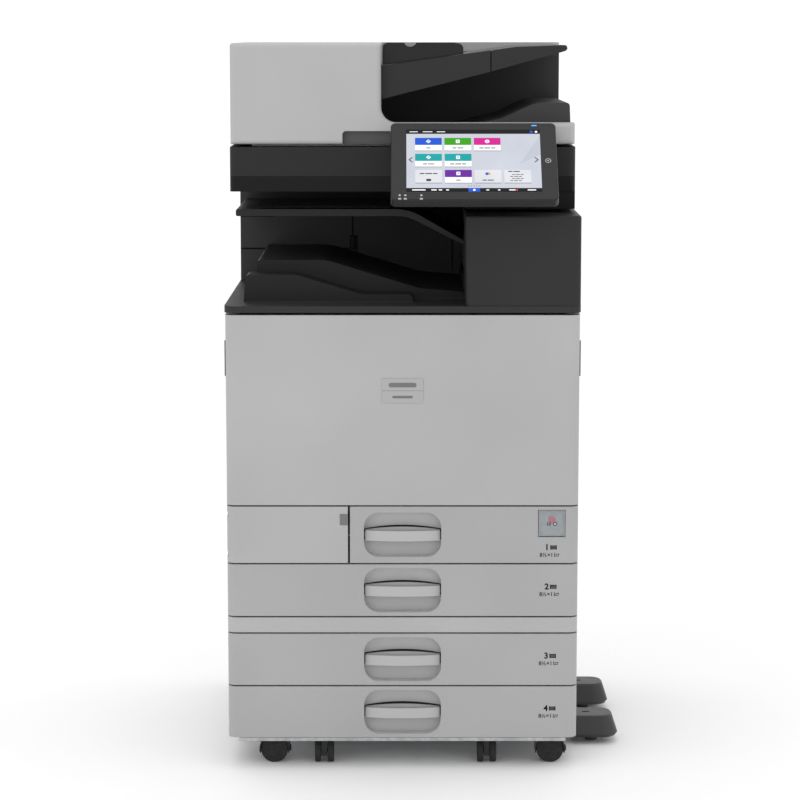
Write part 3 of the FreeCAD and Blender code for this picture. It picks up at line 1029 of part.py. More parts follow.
# original tray: a fixed part and a folding end
TRAY_UP = [(FEED_SPLIT, HOOD_Z - 1), (TRAY_SEAM, FEED_TOP - 12)]
TRAY_LOW = [(FEED_SPLIT, FEED_Z + 74), (TRAY_SEAM, FEED_TOP - 47.7)]
fixed = front([(FEED_SPLIT, TRAY_LOW[0][1], 0), (TRAY_SEAM - 0.8, TRAY_LOW[1][1], 0),
               (TRAY_SEAM - 0.8, TRAY_UP[1][1], 0),
               (FEED_SPLIT, TRAY_UP[0][1], 0)], TRAY_Y0, TRAY_Y1)
FOLD_PIN_X = TRAY_SEAM + 4.5
FOLD_PIN_Z = FEED_TOP - 17.0
FOLD_R = 4.5
FOLD_PIN_R = 2.0
fold = front([(TRAY_SEAM + 0.8, FEED_TOP - 47, 0), (FEED_HALF - 16, FEED_TOP - 13.5, 3),
              (FEED_HALF - 12, FEED_TOP - 10, 3),
              (FEED_HALF - 14, FEED_TOP - 3.5, 3), (TRAY_SEAM + 41, FEED_TOP - 6.5, 0),
              (TRAY_SEAM + 0.8, FEED_TOP - 12.3, 3)],
             TRAY_Y0, TRAY_Y1)
FOLD_ARM = 12.0
fold_arms = []
fold_slots = []
fold_bores = []
fold_pins = []
for y in (TRAY_Y0 + 40, TRAY_Y1 - 40 - FOLD_ARM):
    fold_arms.append(box(TRAY_SEAM - 2, FOLD_PIN_X, y, y + FOLD_ARM, FOLD_PIN_Z - 4, FOLD_PIN_Z + 1))
    fold_arms.append(rod_y(y, y + FOLD_ARM, FOLD_PIN_X, FOLD_PIN_Z, FOLD_R))
    fold_bores.append(rod_y(y - 1, y + FOLD_ARM + 1, FOLD_PIN_X, FOLD_PIN_Z, FOLD_PIN_R + FIT))
    fold_slots.append(box(TRAY_SEAM - 1, FOLD_PIN_X + FOLD_R + 6, y - 0.8, y + FOLD_ARM + 0.8,
                          FEED_TOP - 60, FEED_TOP))
    fold_pins.append(rod_y(y - 4, y + FOLD_ARM + 4, FOLD_PIN_X, FOLD_PIN_Z, FOLD_PIN_R))
add("original_tray", cut(fuse([fixed] + fold_arms), fold_bores))
add("original_tray_end", fuse([cut(fold, fold_slots)] + fold_pins))

# sliding document guides on the original tray
GUIDE_T = 3.0
GUIDE_X0 = FEED_SPLIT + 3.0
GUIDE_X1 = TRAY_SEAM - 46.0
GUIDE_Y0 = TRAY_Y0 + 4.0
tray_slope = (TRAY_UP[1][1] - TRAY_UP[0][1]) / (TRAY_UP[1][0] - TRAY_UP[0][0])


def tray_z(x):
    """Height of the original tray's surface."""
    return TRAY_UP[0][1] + (x - FEED_SPLIT) * tray_slope


def guide(y0, foot_sign):
    """Upright fence with a sloped foot; the foot points to the middle of the tray."""
    low0 = tray_z(GUIDE_X0) + TOUCH
    low1 = tray_z(GUIDE_X1) + TOUCH
    fence = front([(GUIDE_X0, low0, 0), (GUIDE_X1, low1, 0), (GUIDE_X1, FEED_TOP - 0.5, 9),
                   (GUIDE_X0, FEED_TOP - 0.5, 6)],
                  y0, y0 + GUIDE_T)
    notch = rod_y(y0 - 1, y0 + GUIDE_T + 1, (GUIDE_X0 + GUIDE_X1) / 2 - 20, FEED_TOP + 4, 12.0)
    foot_y0 = y0 if foot_sign > 0 else y0 - 25
    foot = front([(GUIDE_X0 + 20, tray_z(GUIDE_X0 + 20) + TOUCH, 0),
                  (GUIDE_X1 - 20, tray_z(GUIDE_X1 - 20) + TOUCH, 0),
                  (GUIDE_X1 - 20, tray_z(GUIDE_X1 - 20) + TOUCH + 2, 0),
                  (GUIDE_X0 + 20, tray_z(GUIDE_X0 + 20) + TOUCH + 2, 0)], foot_y0, foot_y0 + 25 + GUIDE_T)
    return fuse([cut(fence, notch), foot])


add("document_guide_front", guide(GUIDE_Y0, 1))
add("document_guide_rear", guide(TRAY_Y1 - 4.0 - GUIDE_T, -1))

feed_roll = [rod_y(base_y + 1, REAR_HOOD_Y + 2, FEED_ROLL_X, FEED_ROLL_Z, FEED_SHAFT_R)]
for y in (base_y + 120, base_y + 190):
    feed_roll.append(rod_y(y, y + 45, FEED_ROLL_X, FEED_ROLL_Z, FEED_ROLL_R))
add("feed_roller", fuse(feed_roll))
add("platen_sheet", box(GLASS_X0, GLASS_X1, GLASS_Y0, GLASS_Y1, SCAN_TOP + TOUCH, FEED_Z))

# ------------------------------------------------------------------ floor gear
WEB_T = 5.0
WEB_GAP = 0.5
AXLE_R = 3.0
STEM_R = 6.0
CAP_GAP = 0.8                     # between a wheel and the hood over it
HOOD_T = 2.0
MOUNT_T = 3.0
HOOD_R = WHEEL_R + CAP_GAP + HOOD_T
HOOD_HALF = WEB_T / 2 + WEB_GAP + WHEEL_T + 2.0
HOOD_TOP_HALF = math.sqrt(HOOD_R ** 2 - (BASE_Z - WHEEL_R) ** 2)     # half chord of a hood at the base plate
SWING_R = math.hypot(CASTER_TRAIL + HOOD_TOP_HALF, HOOD_HALF) + 1.5   # opening for the turning hood
REAR_CASTER_Y = BACK_Y - 70.0
REAR_LEG_W = 44.0
TWIN_T = 10.0
TWIN_GAP = 12.0
BRAKE_LEVER = 14.0


def twin_wheel(x, y, radius, width, gap, along_y):
    """Two tyres joined by an axle; the axle lies along Y or along X."""
    draw = rod_y if along_y else rod_x
    centre = y if along_y else x
    across = x if along_y else y
    tyres = []
    for sign in (-1, 1):
        inner, outer = span(sign, gap / 2, gap / 2 + width)
        tyre = draw(centre + inner, centre + outer, across, radius, radius)
        tyres.append(tyre.makeFillet(1.5, tyre.Edges))
    axle = draw(centre - gap / 2 - 1, centre + gap / 2 + 1, across, radius, AXLE_R)
    return fuse(tyres + [axle])


def swivel_hood(pivot_x, y, wheel_x):
    """Caster body: a web between the wheels, a hood over them, a brake lever and a swivel stem."""
    width = 2 * HOOD_HALF
    outer = rod_y(y - width / 2, y + width / 2, wheel_x, WHEEL_R, HOOD_R)
    room = rod_y(y - width, y + width, wheel_x, WHEEL_R, WHEEL_R + CAP_GAP)
    web = rod_y(y - WEB_T / 2, y + WEB_T / 2, wheel_x, WHEEL_R, WHEEL_R + CAP_GAP + 1)
    shell = cut(outer, room)
    body = fuse([shell, web])
    body = cut(body, box(wheel_x - 60, wheel_x + 60, y - 60, y + 60, -30, WHEEL_R - 6))
    stem = rod_z(WHEEL_R + 12, BASE_Z + BASE_T + MOUNT_T, pivot_x, y, STEM_R)
    top = rod_z(WHEEL_R + 12, BASE_Z + 3, pivot_x, y, STEM_R + 5)
    lever_x = wheel_x + math.copysign(WHEEL_R + 1, wheel_x - pivot_x)
    x0 = min(lever_x, lever_x + math.copysign(5, wheel_x - pivot_x))
    lever = box(x0 - 1, x0 + 4, y - BRAKE_LEVER / 2, y + BRAKE_LEVER / 2, WHEEL_R - 4, WHEEL_R + 3)
    body = cut(fuse([body, stem, top]), rod_y(y - width / 2 - 1, y - WEB_T / 2, wheel_x, WHEEL_R,
                                              WHEEL_R + CAP_GAP))
    body = cut(body, rod_y(y + WEB_T / 2, y + width / 2 + 1, wheel_x, WHEEL_R, WHEEL_R + CAP_GAP))
    body = fuse([body, lever])
    return cut(body, rod_y(y - 40, y + 40, wheel_x, WHEEL_R, AXLE_R + FIT))


fixed_gear = []
base_cuts = []
for name, sign in (("left", -1), ("right", 1)):
    pivot = sign * CASTER_X
    wheel_x = pivot + CASTER_TRAIL
    add("front_%s_caster" % name, swivel_hood(pivot, CASTER_Y, wheel_x))
    add("front_%s_wheels" % name, twin_wheel(wheel_x, CASTER_Y, WHEEL_R, WHEEL_T, WEB_T + 2 * WEB_GAP,
                                             True))
    base_cuts.append(rod_z(BASE_Z - 1, BASE_Z + BASE_T + 1, pivot, CASTER_Y, SWING_R))
    x0, x1 = span(sign, CASTER_X - SWING_R - 6, CASTER_X + SWING_R - 10)
    mount = box(x0, x1, CASTER_Y - 24, CASTER_Y + SWING_R + 8, BASE_Z + BASE_T, BASE_Z + BASE_T + MOUNT_T)
    fixed_gear.append(cut(mount, rod_z(BASE_Z, BASE_Z + 20, pivot, CASTER_Y, STEM_R + FIT)))

    # rear caster: straight legs on a plate under the base
    rear_x = sign * CASTER_X
    rear_gap = WEB_T + 2 * WEB_GAP
    legs = [box(rear_x - WEB_T / 2, rear_x + WEB_T / 2, REAR_CASTER_Y - REAR_LEG_W / 2,
                REAR_CASTER_Y + REAR_LEG_W / 2,
                WHEEL_R - 6, BASE_Z)]
    legs.append(box(rear_x - WEB_T / 2 - WHEEL_T - 2, rear_x + WEB_T / 2 + WHEEL_T + 2,
                    REAR_CASTER_Y - WHEEL_R,
                    REAR_CASTER_Y + WHEEL_R, BASE_Z, BASE_Z + BASE_T + 2))
    caster = fuse(legs)
    clear = WHEEL_R + CAP_GAP
    side_gap = WEB_T / 2
    for wheel_sign in (-1, 1):
        s0, s1 = span(wheel_sign, side_gap, side_gap + WHEEL_T + 4)
        caster = cut(caster, rod_x(rear_x + s0, rear_x + s1, REAR_CASTER_Y, WHEEL_R, clear))
    fixed_gear.append(cut(caster, rod_x(rear_x - 30, rear_x + 30, REAR_CASTER_Y, WHEEL_R, AXLE_R + FIT)))
    base_cuts.append(box(rear_x - WEB_T / 2 - WHEEL_T - 2, rear_x + WEB_T / 2 + WHEEL_T + 2,
                         REAR_CASTER_Y - WHEEL_R,
                         REAR_CASTER_Y + WHEEL_R, BASE_Z - 1, BASE_Z + BASE_T + 1))
    add("rear_%s_wheels" % name, twin_wheel(rear_x, REAR_CASTER_Y, WHEEL_R, WHEEL_T, rear_gap, False))

    # front support: smaller twin rollers on a post
    support_x = sign * SUPPORT_X + SUPPORT_SHIFT
    post = box(support_x - TWIN_GAP / 2 + 1, support_x + TWIN_GAP / 2 - 1, SUPPORT_Y - 15, SUPPORT_Y + 12,
               SUPPORT_R - 7, BASE_Z)
    shoe = box(support_x - 15, support_x + 15, SUPPORT_Y - 15, SUPPORT_Y + 18, BASE_Z - 3, BASE_Z)
    support = cut(fuse([post, shoe]), rod_x(support_x - 20, support_x + 20, SUPPORT_Y, SUPPORT_R,
                                            AXLE_R + FIT))
    fixed_gear.append(support)
    add("support_%s_wheels" % name, twin_wheel(support_x, SUPPORT_Y, SUPPORT_R, TWIN_T, TWIN_GAP, False))

STAB_IN = HALF - 53.5
STAB_ARM = 18.0
STAB_FLARE = 40.0
STAB_LOW = 12.0
STAB_DOME = 5.0
STAB_PAD_R = 11.0
STAB_PAD_X = HALF + 38.5
def foot_ring(y, inset, radius, z):
    """Closed outline of a foot at one height, narrowed by an inset."""
    x0 = HALF + 4
    x1 = STAB_REACH - inset
    reach = STAB_FLARE - inset
    corners = [(x0, y - reach, 8), (x1, y - reach, radius), (x1, y + reach, radius), (x0, y + reach, 8)]
    return outline(corners, lambda p: V(p.x, p.y, z))


for y in STAB_Y:
    foot = Part.makeLoft([foot_ring(y, 4, 24, STAB_LOW), foot_ring(y, 0, 26, STAB_LOW + 6),
                          foot_ring(y, 9, 22, BASE_Z + 2), foot_ring(y, 12, 20, BASE_Z + STAB_DOME)],
                         True, True)
    beam = box(STAB_IN, HALF + 20, y - STAB_ARM, y + STAB_ARM, BASE_Z - 12, BASE_Z)
    lock_slot = box(HALF + 22, HALF + 35, y - 3, y + 3, BASE_Z - 1, BASE_Z + STAB_DOME + 1)
    pad = rod_z(0, STAB_LOW, STAB_PAD_X, y, STAB_PAD_R)
    add("stabilizers", cut(fuse([foot, beam]), lock_slot), pad)
add("caster_brackets", *fixed_gear)
bank = NODES["bank_frame"][0].cut(base_cuts)
NODES["bank_frame"] = bank.Solids

# ------------------------------------------------------------------ files
# The origin is the centre of the whole machine's footprint box, on the floor.
everything = Part.makeCompound([solid for solids in NODES.values() for solid in solids])
limits = everything.optimalBoundingBox(False, False)
ORIGIN = V((limits.XMin + limits.XMax) / 2, (limits.YMin + limits.YMax) / 2, limits.ZMin)
for name, solids in NODES.items():
    shape = solids[0] if len(solids) == 1 else Part.makeCompound(solids)
    shape.translate(-ORIGIN)
    shape.exportStep("parts/%s.step" % name)
print("%d nodes, origin at %.4f %.4f %.4f" % (len(NODES), ORIGIN.x, ORIGIN.y, ORIGIN.z))
print("size %.2f x %.2f x %.2f mm" % (limits.XLength, limits.YLength, limits.ZLength))
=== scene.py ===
import math

import bmesh
import bpy
from mathutils import Euler, Matrix, Vector


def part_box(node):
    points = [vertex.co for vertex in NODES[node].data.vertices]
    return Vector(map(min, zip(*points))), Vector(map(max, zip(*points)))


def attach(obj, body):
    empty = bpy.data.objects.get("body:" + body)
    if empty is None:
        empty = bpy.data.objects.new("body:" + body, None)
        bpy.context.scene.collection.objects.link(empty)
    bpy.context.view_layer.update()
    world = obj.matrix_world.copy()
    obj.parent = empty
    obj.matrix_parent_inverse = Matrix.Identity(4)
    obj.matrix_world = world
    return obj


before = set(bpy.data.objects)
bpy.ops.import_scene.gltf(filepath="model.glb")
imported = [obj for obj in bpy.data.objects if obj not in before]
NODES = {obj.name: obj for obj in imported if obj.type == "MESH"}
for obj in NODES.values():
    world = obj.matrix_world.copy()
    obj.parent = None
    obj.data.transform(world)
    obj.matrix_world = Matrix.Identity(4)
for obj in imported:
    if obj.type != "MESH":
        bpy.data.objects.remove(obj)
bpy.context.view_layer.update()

MM = 0.001


# ------------------------------------------------------------------ procedural materials
class Shader:
    """A node material with a Principled shader and short helpers."""

    def __init__(self, name, roughness=0.5, metallic=0.0, specular=0.5):
        self.material = bpy.data.materials.new(name)
        self.material.use_nodes = True
        self.tree = self.material.node_tree
        self.bsdf = self.tree.nodes["Principled BSDF"]
        self.bsdf.inputs["Roughness"].default_value = roughness
        self.bsdf.inputs["Metallic"].default_value = metallic
        self.bsdf.inputs["Specular IOR Level"].default_value = specular
        self.place = self.tree.nodes.new("ShaderNodeTexCoord").outputs["Object"]

    def node(self, kind, **settings):
        made = self.tree.nodes.new(kind)
        for key, value in settings.items():
            setattr(made, key, value)
        return made

    def link(self, source, target):
        self.tree.links.new(source, target)

    def math(self, operation, a, b=0.0):
        made = self.node("ShaderNodeMath", operation=operation)
        for socket, value in ((made.inputs[0], a), (made.inputs[1], b)):
            if isinstance(value, (int, float)):
                socket.default_value = value
            else:
                self.link(value, socket)
        return made.outputs[0]

    def noise(self, scale, detail=3.0, roughness=0.55, stretch=None):
        """Noise in the object's own metres; stretch scales the three axes."""
        source = self.place
        if stretch:
            mapping = self.node("ShaderNodeMapping")
            mapping.inputs["Scale"].default_value = stretch
            self.link(source, mapping.inputs["Vector"])
            source = mapping.outputs["Vector"]
        made = self.node("ShaderNodeTexNoise")
        made.inputs["Scale"].default_value = scale
        made.inputs["Detail"].default_value = detail
        made.inputs["Roughness"].default_value = roughness
        self.link(source, made.inputs["Vector"])
        return made.outputs["Fac"]

    def ramp(self, factor, low, high, dark, light):
        """Colour from dark to light as factor goes from low to high."""
        made = self.node("ShaderNodeValToRGB")
        made.color_ramp.elements[0].position = low
        made.color_ramp.elements[1].position = high
        made.color_ramp.elements[0].color = (*dark, 1.0)
        made.color_ramp.elements[1].color = (*light, 1.0)
        self.link(factor, made.inputs["Fac"])
        return made.outputs["Color"]

    def mix(self, factor, a, b):
        """Mix of two colours; each is a socket or a triple."""
        made = self.node("ShaderNodeMix", data_type="RGBA")
        self.link(factor, made.inputs["Factor"])
        for socket, value in ((made.inputs["A"], a), (made.inputs["B"], b)):
            if isinstance(value, tuple):
                socket.default_value = (*value, 1.0)
            else:
                self.link(value, socket)
        return made.outputs["Result"]

    def color(self, value):
        self.link(value, self.bsdf.inputs["Base Color"])

    def rough(self, factor, low, high):
        """Roughness that wanders between two values."""
        made = self.node("ShaderNodeMapRange")
        made.inputs["To Min"].default_value = low
        made.inputs["To Max"].default_value = high
        self.link(factor, made.inputs["Value"])
        self.link(made.outputs["Result"], self.bsdf.inputs["Roughness"])

    def bump(self, height, strength, distance, edge=0.0):
        made = self.node("ShaderNodeBump")
        made.inputs["Strength"].default_value = strength
        made.inputs["Distance"].default_value = distance
        self.link(height, made.inputs["Height"])
        if edge:
            bevel = self.node("ShaderNodeBevel", samples=4)
            bevel.inputs["Radius"].default_value = edge
            self.link(bevel.outputs["Normal"], made.inputs["Normal"])
        self.link(made.outputs["Normal"], self.bsdf.inputs["Normal"])

    def inside(self, axis, low, high):
        """1 where the object's own coordinate lies between two limits."""
        split = self.node("ShaderNodeSeparateXYZ")
        self.link(self.place, split.inputs[0])
        value = split.outputs[axis]
        over = self.math("GREATER_THAN", value, low)
        under = self.math("LESS_THAN", value, high)
        return self.math("MULTIPLY", over, under)


def scaled(color, factor):
    """A colour made darker or lighter, never over white."""
    return tuple(min(channel * factor, 1.0) for channel in color)


def moulded(name, color, roughness=0.5, grain=1400.0, relief=0.12, edge=0.0008, spread=0.06, specular=0.4,
            patches=()):
    """Moulded plastic: fine spark-eroded grain, faint tone drift and a soft worn edge.
    patches lists (limits, colour) where limits is {axis: (low, high)} in metres."""
    shader = Shader(name, roughness, specular=specular)
    drift = shader.noise(3.0, 2.0)
    base = shader.ramp(drift, 0.3, 0.7, scaled(color, 1 - spread), scaled(color, 1 + spread))
    speckle = shader.noise(grain * 0.6, 1.0)
    base = shader.mix(shader.math("MULTIPLY", speckle, 0.12), base, scaled(color, 0.7))
    for limits, tone in patches:
        mask = None
        for axis, (low, high) in limits.items():
            part = shader.inside(axis, low, high)
            mask = part if mask is None else shader.math("MULTIPLY", mask, part)
        base = shader.mix(mask, base, tone)
    shader.color(base)
    shader.rough(shader.noise(40.0, 4.0), roughness - 0.06, roughness + 0.08)
    shader.bump(shader.noise(grain, 2.0, 0.6), relief, 0.0002, edge)
    return shader.material


def steel(name, color, brushed, roughness=0.35):
    """Sheet steel: zinc spangle or a brushed grain along one axis."""
    shader = Shader(name, roughness, metallic=0.85)
    stretch = (1.0, 60.0, 60.0) if brushed else None
    grain = shader.noise(60.0 if brushed else 90.0, 4.0, stretch=stretch)
    shader.color(shader.ramp(grain, 0.35, 0.7, scaled(color, 0.75), scaled(color, 1.1)))
    shader.rough(grain, roughness - 0.1, roughness + 0.15)
    shader.bump(grain, 0.08, 0.0002, 0.0005)
    return shader.material


def rubber(name, color, roughness=0.75):
    """Rubber: matt, slightly mottled, with dust in the grain."""
    shader = Shader(name, roughness, specular=0.25)
    dust = shader.noise(220.0, 5.0, 0.7)
    shader.color(shader.ramp(dust, 0.4, 0.75, color, scaled(color, 2.2)))
    shader.rough(dust, roughness - 0.1, roughness + 0.1)
    shader.bump(shader.noise(900.0, 3.0), 0.2, 0.0002, 0.0006)
    return shader.material


def glowing(name, color, strength, drift=0.05):
    """Lit pixels behind glass: a faint backlight drift over one colour."""
    shader = Shader(name, 0.3, specular=0.12)
    cloud = shader.noise(14.0, 2.0)
    tone = shader.ramp(cloud, 0.3, 0.7, scaled(color, 1 - drift), scaled(color, 1 + drift))
    shader.color(tone)
    shader.link(tone, shader.bsdf.inputs["Emission Color"])
    shader.bsdf.inputs["Emission Strength"].default_value = strength
    return shader.material


def clear(name, color, alpha, roughness=0.15):
    """Tinted clear plastic or glass with faint haze."""
    shader = Shader(name, roughness, specular=0.5)
    haze = shader.noise(120.0, 4.0)
    shader.color(shader.ramp(haze, 0.3, 0.8, scaled(color, 0.94), scaled(color, 1.05)))
    shader.rough(haze, roughness, roughness + 0.12)
    shader.bsdf.inputs["Alpha"].default_value = alpha
    return shader.material


LIGHT = (0.415, 0.415, 0.417)
BLACK = (0.027, 0.027, 0.028)
DEEP = (0.006, 0.006, 0.006)
LOW_GLOSS = 0.16
INK = moulded("mark_ink", (0.008, 0.008, 0.009), 0.6, specular=0.1)
LIGHT_PLAIN = moulded("light_trim", LIGHT, 0.5)
SCREW = steel("screw_steel", (0.6, 0.6, 0.6), False, 0.3)


def paint(material, *names):
    """Give CAD nodes a finished material."""
    for name in names:
        slots = NODES[name].data.materials
        slots.clear()
        slots.append(material)


# ------------------------------------------------------------------ places read from the frame
BODY_LOW, BODY_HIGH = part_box("front_door")
MID_X = (BODY_LOW.x + BODY_HIGH.x) / 2
FACE_Y = BODY_LOW.y
SCREEN_LOW, SCREEN_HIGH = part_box("panel_screen")
WASTE_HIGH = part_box("waste_cover")[1]
SCAN_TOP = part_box("scanner_housing")[1].z
LID_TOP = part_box("exit_housing")[0].z
TILT = math.radians(45)
SCREEN_T = 1.4 * MM

GRIP_HALF = 62.5 * MM         # half length of a handle bar
GRIP_DEEP = 18.3 * MM         # just before the recess's back wall
BAR_HALF = 9.0 * MM
RECESS_HALF = 33.0 * MM       # half height of the recess behind a bar
BAR_DROP = 2.0 * MM           # bar's middle under the front's middle
BAR_RISE = 6.0 * MM           # rise of the bar's arched lip
SLOT_W = 1.2 * MM             # shadow line on the recess's back wall
SLOT_SHOWN = 0.8 * MM         # shadow seen over the bar's arched lip


def drawer_material(number):
    """Light cover whose recess is painted paler, most towards its top, to lift the shade in it, with a
    painted highlight on the bar, painted shade on the bar's arched lip and a painted shadow line behind its
    arch and past its ends.
    """
    low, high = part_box("tray_%d_front" % number)
    middle = (low.z + high.z) / 2 - BAR_DROP
    shader = Shader("drawer_cover_%d" % number, 0.5, specular=0.4)
    drift = shader.noise(3.0, 2.0)
    tone = scaled(LIGHT, 0.91)
    base = shader.ramp(drift, 0.3, 0.7, scaled(tone, 0.94), scaled(tone, 1.06))
    speckle = shader.noise(840.0, 1.0)
    base = shader.mix(shader.math("MULTIPLY", speckle, 0.12), base, scaled(tone, 0.7))
    split = shader.node("ShaderNodeSeparateXYZ")
    shader.link(shader.place, split.inputs[0])
    across = shader.math("SUBTRACT", split.outputs[0], MID_X)
    square = shader.math("MULTIPLY", across, across)
    # Painted light: the recess behind the bar is painted paler than the front, and paler still from the
    # bar's middle up to the recess's top, to lift the shade that falls in it.
    depth = shader.inside(1, FACE_Y + 1.0 * MM, FACE_Y + 2 * GRIP_DEEP)
    depth = shader.math("MULTIPLY", depth, shader.math("LESS_THAN", square, (1.2 * GRIP_HALF) ** 2))
    recess_top_lift = shader.math("MULTIPLY", shader.math("SUBTRACT", split.outputs[2], middle), 1 / RECESS_HALF)
    recess_top_lift = shader.math("MAXIMUM", recess_top_lift, 0.0)
    base = shader.mix(depth, base, scaled(LIGHT, 1.08))
    base = shader.mix(shader.math("MULTIPLY", depth, recess_top_lift), base, scaled(LIGHT, 1.2))
    # Painted highlight: the bar's face is painted paler than the front around it.
    bar = shader.math("MULTIPLY", shader.math("LESS_THAN", square, (GRIP_HALF + 0.5 * MM) ** 2),
                      shader.inside(2, middle - BAR_HALF, middle + BAR_HALF + BAR_RISE))
    bar = shader.math("MULTIPLY", bar, shader.inside(1, FACE_Y - 5.0 * MM, FACE_Y + GRIP_DEEP - 6.0 * MM))
    base = shader.mix(bar, base, scaled(LIGHT, 1.03))
    # Painted shade: the band along the bar's arched lip is painted darker than the bar.
    lip_shade = shader.math("MULTIPLY", bar, shader.math("GREATER_THAN", split.outputs[2],
                                                   middle + BAR_HALF - 1.0 * MM))
    base = shader.mix(lip_shade, base, scaled(LIGHT, 0.72))
    # Painted shadow: a near-black line on the recess's back wall over the bar's arch and beside its ends
    # stands in for the shade in the gap behind the bar.
    top = shader.math("SUBTRACT", middle + BAR_HALF + BAR_RISE + SLOT_SHOWN,
                      shader.math("MULTIPLY", square, BAR_RISE / GRIP_HALF ** 2))
    under_arch = shader.math("LESS_THAN", split.outputs[2], top)
    over_foot = shader.math("GREATER_THAN", split.outputs[2], middle - BAR_HALF)
    wall = shader.inside(1, FACE_Y + GRIP_DEEP, FACE_Y + GRIP_DEEP + SLOT_W)
    ends = shader.math("MULTIPLY", shader.math("GREATER_THAN", square, (GRIP_HALF + 0.6 * MM) ** 2),
                       shader.math("LESS_THAN", square, (GRIP_HALF + 2.6 * MM) ** 2))
    ends = shader.math("MULTIPLY", ends, shader.inside(1, FACE_Y + 1.0 * MM, FACE_Y + GRIP_DEEP + SLOT_W))
    slot = shader.math("MAXIMUM", wall, ends)
    slot = shader.math("MULTIPLY", slot, shader.math("MULTIPLY", under_arch, over_foot))
    base = shader.mix(slot, base, (0.012, 0.012, 0.012))
    shader.color(base)
    shader.rough(shader.noise(40.0, 4.0), 0.44, 0.58)
    shader.bump(shader.noise(1400.0, 2.0, 0.6), 0.12, 0.0002, 0.0008)
    return shader.material


def cavity_seams():
    """Dark joints between the panels of the output cavity's rear wall, with the latch between them."""
    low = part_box("cavity_wall")[0]
    black = (0.0015, 0.0015, 0.0015)
    left = MID_X - 0.0915
    right = MID_X + 0.0893
    seam = 0.003
    shelf = LID_TOP + 0.0572
    return (({0: (left, left + seam), 2: (LID_TOP + 0.08, LID_TOP + 0.126)}, black),
            ({0: (left + 0.0065, left + 0.0065 + seam), 2: (LID_TOP + 0.043, shelf)}, black),
            ({0: (left - 0.004, left + 0.0105), 2: (shelf, LID_TOP + 0.083)}, black),
            ({0: (left - 0.001, left + 0.0035), 2: (shelf + 0.003, LID_TOP + 0.08)}, (0.028, 0.028, 0.028)),
            ({0: (low.x, left - 0.004), 2: (shelf, shelf + seam)}, black),
            ({0: (low.x, low.x + 0.062), 2: (LID_TOP + 0.116, LID_TOP + 0.1175)}, black),
            ({0: (right, right + seam), 2: (LID_TOP + 0.02, LID_TOP + 0.09)}, black))


SCOOP_LEFT = 216.5 * MM       # finger scoop under the feeder, from the panel's middle
SCOOP_RIGHT = 83.5 * MM
SCOOP_DEEP = 14.0 * MM
SCOOP_HIGH = 22.5 * MM
CREASE = 48.0 * MM            # scanner's crease under its top
WAVES = 2.0 * MM              # where the lid's waves begin over its plate


